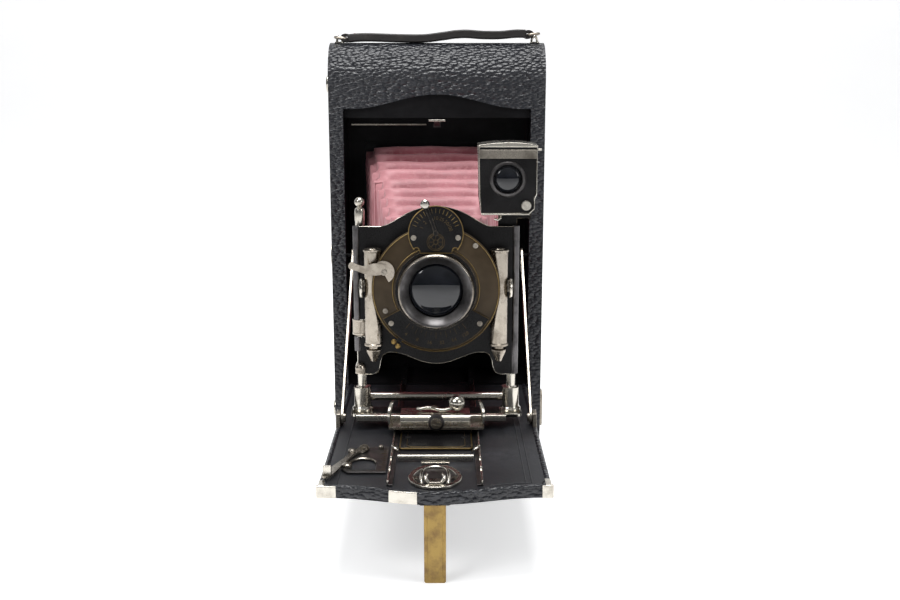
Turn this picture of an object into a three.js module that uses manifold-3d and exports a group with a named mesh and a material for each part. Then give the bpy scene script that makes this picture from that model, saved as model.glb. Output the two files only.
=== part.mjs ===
// Folding roll-film camera of the early twentieth century, opened for use: leather body, drop bed on struts,
// pleated bellows, lens standard on a sliding carriage, pneumatic shutter and reflecting finder.
// Millimetres, +Z up. The lens looks along -Y. The camera stands on its rounded lower end and on the
// little leg under the bed; the origin is the middle of the flat of that lower end.
import * as THREE from "three";
import { mergeVertices } from "three/addons/utils/BufferGeometryUtils.js";
import Module from "manifold-3d";

const wasm = await Module();
wasm.setup();

// ---- Driving dimensions ------------------------------------------------------------------------
const BODY_W = 121; // across X
const BODY_H = 241; // along Z, over both rounded ends
const BODY_T = 51; // front face to back face
const WALL = 3;
const SEAM_Y = 33; // where the removable back meets the front shell
const END_R = 20; // rounded corners of both ends, seen from the side
const GAP = 0.3; // clearance between neighbouring solids

const BED_TOP = 45; // height of the open bed's inner face
const BED_T = 5.4;
const BED_HALF_W = 52.5;
const BED_SIDE_L = 159.5; // from the body's face to the bed's front corners
const BED_TIP_L = 167.5; // to the tip of its arched front edge
const ARCH_HALF_W = 48;
const HINGE = { y: 1.5, z: BED_TOP - 3.9, r: 0.9 };
const DOOR_LOW = BED_TOP - 6; // lower edge of the doorway that the bed closes

const GATE_Y = 38; // film gate, at the rear end of the bellows
const LENS_Z = 118.5; // lens axis above the ground
const POST_Y = -68.5; // plane of the two posts of the lens standard
const POST_X = 38.5;
const POST_R = 2.3;
const BOARD_Y = -73; // front face of the lens board
const RAIL_X = 20;
const RAIL_W = 3.2;
const RAIL_H = 2.8;

const SPOOL_Y = 22;
const SPOOL_LOW_Z = 24;
const SPOOL_HIGH_Z = 218;
const SIDE_KNOB = 3; // how far the key and the spool knobs stand out of the body's sides

const STRUT_X = 48.7;
const STRUT_LOW = { y: -74, z: BED_TOP + 4.2 };
const STRUT_PIN = { y: 6, z: 121, r: 1.2 };

const LEG_Y = -160;
const LEG_AXIS_Z = 36.5;

// ---- Materials ---------------------------------------------------------------------------------
const material = (color, roughness, metalness) =>
  new THREE.MeshStandardMaterial({ color, roughness, metalness });
const black_leather = material(0x1b1a1d, 0.6, 0);
const brown_leather = material(0x2a211c, 0.55, 0);
const red_leather = material(0xb0616a, 0.6, 0);
const black_paint = material(0x141417, 0.3, 0);
const nickel = material(0xd8d2c2, 0.25, 1);
const brass = material(0xb39a52, 0.35, 1);
const bronze = material(0x4a4030, 0.35, 0.9);
const glass = material(0x101418, 0.05, 0);
const ruby = material(0x7a0d14, 0.1, 0);
const wood = material(0x3a2a1c, 0.7, 0);

// ---- Solids ------------------------------------------------------------------------------------
// A three.js geometry as a manifold-3d solid with its faces pointing out.
function solid(geometry) {
  const bare = (geometry.index ? geometry.toNonIndexed() : geometry).clone();
  bare.deleteAttribute("normal");
  bare.deleteAttribute("uv");
  const merged = mergeVertices(bare, 1e-4);
  const triangles = [];
  const index = merged.index.array;
  for (let i = 0; i < index.length; i += 3) {
    const [a, b, c] = [index[i], index[i + 1], index[i + 2]];
    if (a !== b && b !== c && c !== a) triangles.push(a, b, c);
  }
  const build = (list) =>
    new wasm.Manifold(
      new wasm.Mesh({
        numProp: 3,
        vertProperties: merged.attributes.position.array,
        triVerts: new Uint32Array(list),
      }),
    );
  const made = build(triangles);
  if (made.volume() > 0) return made;
  const flipped = [];
  for (let i = 0; i < triangles.length; i += 3)
    flipped.push(triangles[i], triangles[i + 2], triangles[i + 1]);
  return build(flipped);
}

function geometryOf(manifold) {
  const mesh = manifold.getMesh();
  const geometry = new THREE.BufferGeometry();
  const position = new Float32Array(mesh.numVert * 3);
  for (let i = 0; i < mesh.numVert; i++)
    position.set(mesh.vertProperties.subarray(i * mesh.numProp, i * mesh.numProp + 3), i * 3);
  geometry.setAttribute("position", new THREE.BufferAttribute(position, 3));
  geometry.setIndex(new THREE.BufferAttribute(mesh.triVerts, 1));
  geometry.computeVertexNormals();
  return geometry;
}

const join = (first, ...others) => others.reduce((sum, next) => sum.add(next), first);
const cut = (first, ...others) => others.reduce((rest, next) => rest.subtract(next), first);

function box(x0, x1, y0, y1, z0, z1) {
  const geometry = new THREE.BoxGeometry(x1 - x0, y1 - y0, z1 - z0);
  return solid(geometry.translate((x0 + x1) / 2, (y0 + y1) / 2, (z0 + z1) / 2));
}

// Which way each local axis of a flat outline and its extrusion points, by the plane it is drawn in.
const X = new THREE.Vector3(1, 0, 0);
const Y = new THREE.Vector3(0, 1, 0);
const Z = new THREE.Vector3(0, 0, 1);
const BASIS = {
  xy: [X, Y, Z],
  yz: [Y, Z, X],
  xz: [X, Z, Y.clone().negate()],
};

// An outline drawn in a plane and given thickness from "low" to "high" along the plane's normal axis.
function slab(plane, shape, low, high, curveSegments = 8) {
  const depth = high - low;
  const geometry = new THREE.ExtrudeGeometry(shape, { depth, bevelEnabled: false, curveSegments });
  geometry.applyMatrix4(new THREE.Matrix4().makeBasis(...BASIS[plane]));
  const along = plane === "xz" ? high : low;
  const shift = BASIS[plane][2].clone().multiplyScalar(plane === "xz" ? -along : along);
  return solid(geometry.translate(shift.x, shift.y, shift.z));
}

const outline = (points) => new THREE.Shape(points.map(([a, b]) => new THREE.Vector2(a, b)));

function disc(a, b, r) {
  return new THREE.Shape().absarc(a, b, r, 0, Math.PI * 2, false);
}

// A turned piece: profile points are [radius, distance along the axis], and "at" is the axis's place
// in the plane across it.
function turned(axis, profile, at = [0, 0], segments = 24) {
  const points = profile.map(([r, h]) => new THREE.Vector2(r, h));
  const geometry = new THREE.LatheGeometry(points, segments);
  if (axis === "x") geometry.rotateZ(-Math.PI / 2).translate(0, at[0], at[1]);
  if (axis === "y") geometry.translate(at[0], 0, at[1]);
  if (axis === "z") geometry.rotateX(Math.PI / 2).translate(at[0], at[1], 0);
  return solid(geometry);
}

// A plain round rod along an axis, and a round tube.
const rod = (axis, r, low, high, at, segments = 16) =>
  turned(axis, [[0, low], [r, low], [r, high], [0, high]], at, segments);
const tube = (axis, inner, outer, low, high, at, segments = 24) =>
  turned(axis, [[inner, low], [outer, low], [outer, high], [inner, high], [inner, low]], at, segments);

// ---- Scene graph -------------------------------------------------------------------------------
const camera = new THREE.Group();
camera.position.y = -BODY_T / 2;

function group(parent, x, y, z) {
  const made = new THREE.Group();
  made.position.set(x, y, z);
  parent.add(made);
  return made;
}

function piece(parent, name, manifold, surface) {
  const mesh = new THREE.Mesh(geometryOf(manifold), surface);
  mesh.name = name;
  parent.add(mesh);
  return mesh;
}

const bed = group(camera, 0, 0, BED_TOP);
const carriage = group(bed, 0, POST_Y, 0);
const lens = group(carriage, 0, BOARD_Y - POST_Y, LENS_Z - BED_TOP);
const FINDER_X = 34.8;
const FINDER_Z = 167.2;
const finder = group(lens, FINDER_X, 0, FINDER_Z - LENS_Z);
const back = group(camera, 0, 0, 0);

// ---- Body --------------------------------------------------------------------------------------
// Side profile in Y and Z: straight faces with rounded corners at each end, shrunk by "inset".
const END_SEGMENTS = 12;
function sideProfile(inset) {
  const r = END_R - inset;
  const shape = new THREE.Shape();
  const corners = [
    [BODY_T - END_R, BODY_H - END_R],
    [END_R, BODY_H - END_R],
    [END_R, END_R],
    [BODY_T - END_R, END_R],
  ];
  corners.forEach(([y, z], quarter) => {
    const from = (quarter * Math.PI) / 2;
    shape.absarc(y, z, r, from, from + Math.PI / 2, false);
  });
  shape.closePath();
  return shape;
}

// The front edge of the bed: how far it reaches beyond its corners at a distance x from the middle.
const archReach = (x) =>
  Math.abs(x) < ARCH_HALF_W
    ? ((BED_TIP_L - BED_SIDE_L) * (1 + Math.cos((Math.PI * x) / ARCH_HALF_W))) / 2
    : 0;
const ARCH_STEPS = 16;
const archPoints = (halfW) => {
  const points = [[halfW, 0]];
  for (let i = 0; i <= ARCH_STEPS; i++) {
    const x = ARCH_HALF_W - (2 * ARCH_HALF_W * i) / ARCH_STEPS;
    points.push([x, archReach(x)]);
  }
  points.push([-halfW, 0]);
  return points;
};

function bodyShell() {
  const half = BODY_W / 2;
  const outer = slab("yz", sideProfile(0), -half, half, END_SEGMENTS);
  const inner = slab("yz", sideProfile(WALL), -half + WALL, half - WALL, END_SEGMENTS);
  const rear = box(-half - 1, half + 1, SEAM_Y, BODY_T + 1, -1, BODY_H + 1);
  const doorTop = BED_TOP + BED_SIDE_L;
  const doorway = outline([
    [-BED_HALF_W, DOOR_LOW],
    [BED_HALF_W, DOOR_LOW],
    ...archPoints(BED_HALF_W).map(([x, reach]) => [x, doorTop + reach]),
  ]);
  const opening = slab("xz", doorway, -1, WALL + 1);
  const pinHole = (side, z) => rod("x", 2.6, side - 6, side + 6, [SPOOL_Y, z]);
  return cut(
    outer,
    inner,
    rear,
    opening,
    rod("x", HINGE.r + GAP, -55.5, 55.5, [HINGE.y, HINGE.z], 12),
    pinHole(-half, SPOOL_LOW_Z),
    pinHole(half, SPOOL_LOW_Z),
    pinHole(-half, SPOOL_HIGH_Z),
  );
}
piece(camera, "body_shell", bodyShell(), black_leather);

// Inner tray: the well behind the door, with the film gate at its back, the rails that the carriage
// slides home on, and the two pins that the struts hang from.
function innerTray() {
  const TRAY_X = 53.5;
  const SKIN = 1.5;
  const FLOOR_T = 3.5;
  const GATE = { halfW: 41.5, low: 53, high: 183 };
  const BAFFLE_TOP = 213;
  const floor = BED_TOP - 0.2;
  const ceiling = 199.5;
  const front = WALL + 0.8;
  const side = TRAY_X + SKIN;
  const outer = box(-side, side, front, GATE_Y + SKIN, floor - FLOOR_T, ceiling + SKIN);
  const well = box(-TRAY_X, TRAY_X, front - 1, GATE_Y, floor, ceiling);
  const gate = box(-GATE.halfW, GATE.halfW, GATE_Y - 1, GATE_Y + SKIN + 1, GATE.low, GATE.high);
  const baffle = box(-TRAY_X, TRAY_X, front, front + 1, ceiling + 1, BAFFLE_TOP);
  const rail = (x) => box(x - RAIL_W / 2, x + RAIL_W / 2, front, GATE_Y - 3, floor - 1, BED_TOP + RAIL_H);
  const pin = (x0, x1) => rod("x", STRUT_PIN.r, x0, x1, [STRUT_PIN.y, STRUT_PIN.z], 12);
  const pinInner = 47;
  const pinOuter = TRAY_X + 1;
  return join(
    cut(outer, well, gate), baffle, rail(-RAIL_X), rail(RAIL_X),
    pin(-pinOuter, -pinInner), pin(pinInner, pinOuter),
  );
}
piece(camera, "inner_tray", innerTray(), black_paint);

piece(camera, "bed_hinge_rod", rod("x", HINGE.r, -55, 55, [HINGE.y, HINGE.z], 12), nickel);

// Leaf spring across the top of the well, fixed at its left end, with the tongue that holds the bed shut.
function bedLatch() {
  const leaf = box(-53.2, 2.8, 9.4, 10.2, 194, 197.2);
  const hook = outline([[1, 198.6], [1, 197.6], [9.4, 194], [10.2, 194], [10.2, 198.6]]);
  const tongue = slab("yz", hook, -3.2, 3.2);
  return join(leaf, tongue);
}
piece(camera, "bed_latch", bedLatch(), brass);

// Pins that hold the spools' ends, with a knob outside the body.
function spoolPin() {
  const face = BODY_W / 2;
  return turned("x", [
    [0, -face - SIDE_KNOB], [4.4, -face - SIDE_KNOB], [5, -face - SIDE_KNOB + 0.8], [5, -face - GAP],
    [2.2, -face - GAP], [2.2, -46.3], [0, -46.3],
  ], [0, 0], 20);
}
piece(camera, "spool_pin_lower", spoolPin(), nickel).position.set(0, SPOOL_Y, SPOOL_LOW_Z);
piece(camera, "spool_pin_upper", spoolPin(), nickel).position.set(0, SPOOL_Y, SPOOL_HIGH_Z);

const sideBush = tube("x", 3.2, 7.5, -BODY_W / 2 - 1.5, -BODY_W / 2 - GAP, [17, 120]);
piece(camera, "side_tripod_bush", sideBush, nickel);

// Winding key, folded flat, on the shaft that turns the take-up spool.
function windingKey() {
  const face = BODY_W / 2;
  const shaft = turned("x", [
    [0, 46.3], [1.9, 46.3], [1.9, face + GAP], [6.5, face + GAP], [6.5, face + 1.6], [0, face + 1.6],
  ], [0, 0], 20);
  const wing = slab("yz", outline([
    [-3.6, -9], [-2, -11], [2, -11], [3.6, -9], [3.6, 9], [2, 11], [-2, 11], [-3.6, 9],
  ]), face + 1.2, face + SIDE_KNOB);
  const grip = (z) => rod("x", 1.6, face - 1, face + SIDE_KNOB + 1, [0, z], 12);
  return cut(join(shaft, wing), grip(-8), grip(8));
}
piece(camera, "winding_key", windingKey(), nickel).position.set(0, SPOOL_Y, SPOOL_LOW_Z);

function spool() {
  const half = 46;
  const lip = half - 1.4;
  return turned("x", [
    [0, -half], [11, -half], [11, -lip], [5, -lip], [5, lip], [11, lip], [11, half], [0, half],
  ], [0, 0], 24);
}
piece(camera, "takeup_spool", spool(), wood).position.set(0, SPOOL_Y, SPOOL_LOW_Z);
piece(camera, "supply_spool", spool(), wood).position.set(0, SPOOL_Y, SPOOL_HIGH_Z);

const ROLLER_R = 2.5;
piece(camera, "upper_film_roller", rod("x", ROLLER_R, -47, 47, [36.8, 204.5]), nickel);
piece(camera, "lower_film_roller", rod("x", ROLLER_R, -47, 47, [36.8, 37.5]), nickel);

// ---- Carrying strap on the upper end -----------------------------------------------------------
const STRAP_Y = END_R;
function strap() {
  const under = [[-50, 242.2], [-38, 241.7], [-10, 241.5], [6, 242], [16, 244.2], [34, 243.6], [50, 244]];
  const THICK = 2.6;
  const over = under.map(([x, z]) => [x, z + THICK]).reverse();
  const band = slab("xz", outline([...under, ...over]), STRAP_Y - 6, STRAP_Y + 6);
  const fold = (x0, x1) => box(x0, x1, STRAP_Y - 6, STRAP_Y + 6, 241.3, 244.7);
  const ringRoom = (x0, x1) => box(x0, x1, STRAP_Y - 7, STRAP_Y + 7, 241.9, 243.9);
  return cut(join(band, fold(-53.2, -48), fold(48, 53.2)), ringRoom(-52.4, -50.2), ringRoom(50.2, 52.4));
}
piece(camera, "handle_strap", strap(), brown_leather);

// One strap loop and the staple that holds it, for the side given as -1 or 1.
function strapFitting(side, word) {
  const put = (x0, x1) => (side < 0 ? [-x1, -x0] : [x0, x1]);
  const ring = cut(
    box(...put(50.6, 56), STRAP_Y - 8.5, STRAP_Y + 8.5, 242.2, 243.6),
    box(...put(52, 54.6), STRAP_Y - 7.1, STRAP_Y + 7.1, 241, 245),
  );
  const staple = cut(
    box(...put(53.4, 57.2), STRAP_Y - 3, STRAP_Y + 3, BODY_H + GAP, 245.2),
    box(...put(54.2, 56.4), STRAP_Y - 4, STRAP_Y + 4, BODY_H, 244.2),
  );
  piece(camera, `strap_ring_${word}`, ring, brass);
  piece(camera, `strap_staple_${word}`, staple, nickel);
}
strapFitting(-1, "left");
strapFitting(1, "right");

// ---- Removable back ----------------------------------------------------------------------------
const WINDOW = [-18, 62];
function backCover() {
  const half = BODY_W / 2;
  const SKIN = 2.5;
  const outer = slab("yz", sideProfile(0), -half, half, END_SEGMENTS);
  const inner = slab("yz", sideProfile(SKIN), -half + SKIN, half - SKIN, END_SEGMENTS);
  const front = box(-half - 1, half + 1, -1, SEAM_Y + GAP, -1, BODY_H + 1);
  return cut(outer, inner, front, rod("y", 6.3, 40, 60, WINDOW, 24));
}
piece(back, "back_cover", backCover(), black_leather);
piece(back, "red_window", rod("y", 6, BODY_T - 2.4, BODY_T - 0.8, WINDOW, 24), ruby);
piece(back, "pressure_plate", box(-44, 44, 42.6, 43.6, 48, 188), black_paint);
piece(camera, "back_latch", box(BODY_W / 2 + GAP, BODY_W / 2 + 2.2, 29, 37, 111, 129), nickel);

// ---- Bed ---------------------------------------------------------------------------------------
function bedBoard() {
  const shape = outline([
    [-BED_HALF_W + 0.6, -0.5],
    ...archPoints(BED_HALF_W - 0.6).map(([x, reach]) => [-x, -BED_SIDE_L - reach]),
    [BED_HALF_W - 0.6, -0.5],
  ]);
  const low = HINGE.z - BED_TOP;
  const KNUCKLE_R = 1.95;
  const ear = (x0, x1) => {
    const root = box(x0, x1, -1, HINGE.y, low - KNUCKLE_R + 0.4, low + KNUCKLE_R);
    return join(root, rod("x", KNUCKLE_R, x0, x1, [HINGE.y, low], 16));
  };
  const lug = (side) => {
    const span = (a, b) => [Math.min(side * a, side * b), Math.max(side * a, side * b)];
    const cheek = box(...span(50, 51.5), STRUT_LOW.y - 5, STRUT_LOW.y + 5, -1, 7.6);
    return join(cheek, rod("x", 1.2, ...span(47.6, 50.5), [STRUT_LOW.y, STRUT_LOW.z - BED_TOP], 12));
  };
  const solidBed = join(slab("xy", shape, -BED_T, 0), ear(-48, -38), ear(38, 48), lug(-1), lug(1));
  return cut(solidBed, rod("x", HINGE.r + GAP, -56, 56, [HINGE.y, low], 12));
}
piece(bed, "bed_board", bedBoard(), black_leather);

const rail = (side) => {
  const x = side * RAIL_X;
  return box(x - RAIL_W / 2, x + RAIL_W / 2, -158.5, -1.5, 0.2, RAIL_H);
};
piece(bed, "track_rail_left", rail(-1), nickel);
piece(bed, "track_rail_right", rail(1), nickel);
piece(bed, "name_plate", box(-17.8, 17.8, -113, -82, 0.2, 1), black_paint);
piece(bed, "track_stop_bar", rod("x", 1.2, -17.8, 17.8, [-127, 1.6], 12), nickel);

// Door catch near the tip of the bed: an oval plate with a spring bolt on it.
function catchPlate() {
  const shape = new THREE.Shape().absellipse(0, -149.5, 11.6, 14, 0, Math.PI * 2, false);
  return join(slab("xy", shape, 0.2, 1.4, 14), box(-4.6, 4.6, -158, -145, 1, 5));
}
piece(bed, "door_catch_plate", catchPlate(), nickel);

// Distance scale beside the track, with its locking lever.
function focusScale() {
  const PLATE = { x0: -46, x1: -22.4, y0: -146, y1: -110, low: 0.2, high: 1.2 };
  const WINDOW = { x0: -38, x1: -28, y0: -140, y1: -124 };
  const plate = box(PLATE.x0, PLATE.x1, PLATE.y0, PLATE.y1, PLATE.low, PLATE.high);
  return cut(plate, box(WINDOW.x0, WINDOW.x1, WINDOW.y0, WINDOW.y1, PLATE.low - 1, PLATE.high + 1));
}
piece(bed, "focus_scale", focusScale(), bronze);
function scaleLever() {
  const edge = outline([[-34, -117], [-31, -114], [-36, -112], [-50, -148], [-50, -153], [-44, -153]]);
  return join(slab("xy", edge, 1.6, 2.6), rod("z", 2.2, 1.6, 4.6, [-34.5, -115.5], 12));
}
piece(bed, "focus_scale_lever", scaleLever(), nickel);

// Under the bed: the leg, folding flat against the bed, its bracket, and a tripod bush.
const legZ = (z) => z - BED_TOP;
function legBracket() {
  const plate = box(-7, 7, -163, -150, legZ(38.6), legZ(39.4));
  const ear = (x0, x1) => box(x0, x1, LEG_Y - 2.5, LEG_Y + 2.5, legZ(34.3), legZ(38.8));
  return join(plate, ear(-7, -5.4), ear(5.4, 7));
}
piece(bed, "leg_bracket", legBracket(), nickel);
piece(bed, "leg", box(-5, 5, LEG_Y - 0.9, LEG_Y + 0.9, legZ(0), legZ(37.8)), brass);
piece(bed, "bed_tripod_bush", tube("z", 3.2, 7.5, legZ(38.2), legZ(39.4), [0, -60]), nickel);

// A strut: flat bar, pivoted low on the bed's side, with a slot that rides on the body's pin.
function strut(side) {
  const dy = STRUT_PIN.y - STRUT_LOW.y;
  const dz = STRUT_PIN.z - STRUT_LOW.z;
  const length = Math.hypot(dy, dz);
  const HALF = 3.6;
  const SLOT = 1.8;
  const SLIDE = 17; // how far the pin can travel along the strut as the bed lifts
  const TAIL = 4.5; // strut beyond the pin
  const bar = new THREE.Shape();
  bar.absarc(0, 0, HALF, Math.PI / 2, (3 * Math.PI) / 2, false);
  bar.absarc(length + TAIL - HALF, 0, HALF, -Math.PI / 2, Math.PI / 2, false);
  const slot = new THREE.Path();
  slot.absarc(length - SLIDE, 0, SLOT, Math.PI / 2, (3 * Math.PI) / 2, false);
  slot.absarc(length, 0, SLOT, -Math.PI / 2, Math.PI / 2, false);
  const eye = new THREE.Path().absarc(0, 0, SLOT, 0, Math.PI * 2, true);
  bar.holes.push(slot, eye);
  const flat = slab("yz", bar, side * STRUT_X - 0.5, side * STRUT_X + 0.5, 6);
  const tilt = (Math.atan2(dz, dy) * 180) / Math.PI;
  return flat.rotate([tilt, 0, 0]).translate([0, STRUT_LOW.y, STRUT_LOW.z - BED_TOP]);
}
piece(bed, "strut_left", strut(-1), nickel);
piece(bed, "strut_right", strut(1), nickel);

// ---- Carriage and lens standard ----------------------------------------------------------------
const SOLE_TOP = 4.8;
function carriageSole() {
  const keel = box(-17.9, 17.9, -21, 7, 1.4, 3.6);
  const plate = box(-24, 24, -21, 7, 3.4, SOLE_TOP);
  return join(keel, plate);
}
piece(carriage, "carriage_sole", carriageSole(), black_paint);
piece(carriage, "standard_base", box(-41.5, 41.5, -9, 5, SOLE_TOP + 0.2, SOLE_TOP + 1.8), black_paint);
piece(carriage, "front_cross_tube", rod("x", 2.1, -41, 38.5, [-11.5, SOLE_TOP + 2.4]), nickel);
piece(carriage, "rear_cross_tube", rod("x", 2.3, -38, 38, [7.6, 11.5]), nickel);

// Focus clamp with its two finger grips, and the lever that locks it.
function focusClamp() {
  const housing = box(-18, 18, -20.5, -14, SOLE_TOP + 0.2, 11);
  const foot = box(-24, 24, -20.5, -14, SOLE_TOP + 0.2, SOLE_TOP + 1.4);
  const wing = (side) => {
    const shape = new THREE.Shape().absarc(-16.5, SOLE_TOP + 0.2, 7.5, 0, Math.PI, false);
    return slab("yz", shape, Math.min(side * 22.8, side * 24), Math.max(side * 22.8, side * 24), 12);
  };
  const crescent = (side) => cut(wing(side), rod("x", 6.2, -30, 30, [-12.6, SOLE_TOP + 4.5], 20));
  return join(housing, foot, crescent(-1), crescent(1));
}
piece(carriage, "focus_clamp", focusClamp(), nickel);
function lockLever() {
  const arm = slab("xy", outline([
    [-9, -18.5], [-6, -19.3], [0, -18.8], [8, -19.5], [8, -15], [0, -15.8], [-6, -15.6], [-9, -16.5],
  ]), 11.4, 13);
  const knob = turned("z", [
    [0, 11.4], [3.4, 11.4], [4.3, 13], [4.3, 17], [3.2, 18.6], [0, 19],
  ], [10.5, -17.2], 20);
  return join(arm, knob);
}
piece(carriage, "focus_lock_lever", lockLever(), nickel);

// Posts: flange, sleeve and rod. The left one carries the rise screw, with a ball on top.
const POST_BASE = SOLE_TOP + 2;
const postFoot = [
  [0, POST_BASE], [4.6, POST_BASE], [4.6, 8.6], [3.8, 9.8], [3.8, 19.2], [2.6, 19.8],
];
const DOME_Z = 27.5;
function postLeft() {
  const top = 112.3;
  return turned("z", [
    ...postFoot, [2.6, DOME_Z], [3.1, DOME_Z], [3.1, DOME_Z + 3.2], [POST_R, DOME_Z + 5],
    [POST_R, top], [1.2, top + 0.8], [2.1, top + 1.8], [2.5, top + 3.2], [1.8, top + 4.8], [0, top + 5.6],
  ], [-POST_X, 0], 20);
}
piece(carriage, "post_left", postLeft(), nickel);
function postRight() {
  const top = 86;
  return turned("z", [
    ...postFoot, [2.6, DOME_Z + 4], [POST_R, DOME_Z + 5], [POST_R, top], [0, top],
  ], [POST_X, 0], 20);
}
piece(carriage, "post_right", postRight(), nickel);

// ---- Bellows, as one tapered hollow body; its pleats are left to the finished surface --------------
const BELLOWS_REAR = { y: GATE_Y - GAP, halfW: 43, halfH: 66 };
const BELLOWS_FRONT = { y: BOARD_Y + 1.5 + GAP, halfW: 29, halfH: 35 };
function frustum(rear, front, inset, extra) {
  const ring = (end, y) => {
    const [w, h] = [end.halfW - inset, end.halfH - inset];
    return [[-w, y, LENS_Z - h], [w, y, LENS_Z - h], [w, y, LENS_Z + h], [-w, y, LENS_Z + h]];
  };
  const points = [...ring(rear, rear.y + extra), ...ring(front, front.y - extra)];
  const faces = [
    [0, 1, 2], [0, 2, 3], [4, 6, 5], [4, 7, 6], [0, 4, 5], [0, 5, 1],
    [1, 5, 6], [1, 6, 2], [2, 6, 7], [2, 7, 3], [3, 7, 4], [3, 4, 0],
  ];
  const geometry = new THREE.BufferGeometry();
  geometry.setAttribute("position", new THREE.Float32BufferAttribute(points.flat(), 3));
  geometry.setIndex(faces.flat());
  return solid(geometry);
}
piece(
  camera,
  "bellows",
  cut(frustum(BELLOWS_REAR, BELLOWS_FRONT, 0, 0), frustum(BELLOWS_REAR, BELLOWS_FRONT, 2.5, 0.5)),
  red_leather,
);

// ---- Lens board and shutter (Y = 0 on the board's front face, Z = 0 on the lens axis) ---------------
const BOARD_T = 1.5;
const BOARD_HALF_W = 42.6;
const NUT = { low: -26, high: -18, r: 4.6 };
function lensBoard() {
  const shape = new THREE.Shape();
  shape.moveTo(-36, -45);
  shape.lineTo(-30.5, -45);
  shape.bezierCurveTo(-26.5, -44, -30, -34, -24, -32.6);
  shape.bezierCurveTo(-16, -32.6, -14, -38.8, 0, -38.8);
  shape.bezierCurveTo(14, -38.8, 16, -32.6, 24, -32.6);
  shape.bezierCurveTo(30, -34, 26.5, -44, 30.5, -45);
  shape.lineTo(BOARD_HALF_W, -45);
  shape.lineTo(BOARD_HALF_W, 31.5);
  shape.lineTo(24, 31.5);
  shape.bezierCurveTo(17, 32, 14, 39, 8, 40);
  shape.lineTo(-8, 40);
  shape.bezierCurveTo(-14, 39, -17, 32, -24, 31.5);
  shape.lineTo(-BOARD_HALF_W, 31.5);
  shape.lineTo(-BOARD_HALF_W, -34);
  shape.lineTo(-36, -34);
  const bore = new THREE.Path().absarc(0, 0, 17, 0, Math.PI * 2, true);
  shape.holes.push(bore);
  const plate = slab("xz", shape, 0, BOARD_T, 6);
  const flangeT = 1;
  const flange = (x, low) => box(x, x + flangeT, 0, 7, low, 31.5);
  const nutRoom = box(-50, -33.4, -1, 12, NUT.low - 0.5, NUT.high + 0.5);
  return cut(join(plate, flange(-BOARD_HALF_W, -34), flange(BOARD_HALF_W - flangeT, -45)), nutRoom);
}
piece(lens, "lens_board", lensBoard(), black_paint);
const riseNut = tube("z", POST_R + GAP, NUT.r, NUT.low, NUT.high, [-POST_X, POST_Y - BOARD_Y], 20);
piece(lens, "rise_nut", riseNut, nickel);

const FACE_Y = -10.8; // front of the shutter's face plate
piece(
  lens,
  "shutter_case",
  turned("y", [
    [18, -0.3], [18, FACE_Y], [32, FACE_Y], [32, -9.4], [26.5, -9.4], [26.5, -0.3], [18, -0.3],
  ], [0, 0], 40),
  bronze,
);

// Air cylinders that time the shutter, one each side, with a capped top and a tapered hose nipple.
const airCylinder = (side) =>
  turned("z", [
    [0, -38], [1.7, -38], [3, -33.5], [2, -33], [2, -32], [4.8, -31.6], [4.8, -30.6], [4.3, -30],
    [4.3, 20.4], [4.8, 20.8], [4.8, 22], [0, 22],
  ], [side * 31.7, -4.9], 20);
piece(lens, "air_cylinder_left", airCylinder(-1), nickel);
piece(lens, "air_cylinder_right", airCylinder(1), nickel);

const DIAL = { z: 28.5, r: 13.6 };
const RING_R = 20.6;
function dialPlate() {
  const face = slab("xz", disc(0, DIAL.z, DIAL.r), FACE_Y - 1.2, FACE_Y - 0.2, 16);
  const neck = slab("xz", outline([[-8, 15], [8, 15], [8, 26], [-8, 26]]), FACE_Y - 1.2, FACE_Y - 0.2);
  return cut(join(face, neck), rod("y", RING_R + 0.4, -30, 0, [0, 0], 40));
}
piece(lens, "speed_dial", dialPlate(), bronze);
function speedPointer() {
  const arm = slab("xz", outline([
    [-1.6, DIAL.z - 1], [1.6, DIAL.z - 1], [1.6, DIAL.z + 1], [-4.2, DIAL.z + 14.4], [-6.2, DIAL.z + 13.8],
  ]), FACE_Y - 2.5, FACE_Y - 1.5);
  return join(arm, rod("y", 2.2, FACE_Y - 4.4, FACE_Y - 1.5, [-5.2, DIAL.z + 14.4], 12));
}
piece(lens, "speed_pointer", speedPointer(), nickel);

function apertureLever() {
  const ring = tube("y", 18.9, RING_R, FACE_Y - 1.3, FACE_Y - 0.3, [0, 0], 40);
  const edge = outline([[-18, -20], [-10, -16], [-9, -17.8], [-17, -29.5], [-21, -29]]);
  const arm = slab("xz", edge, FACE_Y - 1.3, FACE_Y - 0.3);
  return join(ring, cut(arm, rod("y", 19, -30, 0, [0, 0], 40)));
}
piece(lens, "aperture_lever", apertureLever(), brass);

function releaseLever() {
  const edge = outline([[-41.5, 15], [-43, 13], [-41, 11], [-30, 6], [-24, 8], [-26, 12], [-34, 13]]);
  const arm = slab("xz", edge, FACE_Y - 2.6, FACE_Y - 1.5);
  return join(arm, slab("xz", disc(-26, 9.3, 5), FACE_Y - 2.6, FACE_Y - 1.5, 10));
}
piece(lens, "release_lever", releaseLever(), nickel);

piece(
  lens,
  "lens_barrel",
  turned("y", [
    [15.4, -17], [17.6, -17], [18.5, -16.2], [18.5, FACE_Y],
    [17.6, FACE_Y], [17.6, -1], [15.4, -1], [15.4, -17],
  ], [0, 0], 40),
  black_paint,
);
const frontLens = turned("y", [[0, -15.4], [8, -14.6], [15.1, -12], [15.1, -9], [0, -9]], [0, 0], 32);
piece(lens, "front_lens", frontLens, glass);
piece(lens, "iris_diaphragm", tube("y", 6, 15, -7.6, -6.8, [0, 0], 24), black_paint);
const rearCell = turned("y", [[0, 0.4], [16.4, 0.4], [16.4, 7], [14, 7], [8, 6], [0, 5.6]], [0, 0], 28);
piece(lens, "rear_lens_cell", rearCell, black_paint);

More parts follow.
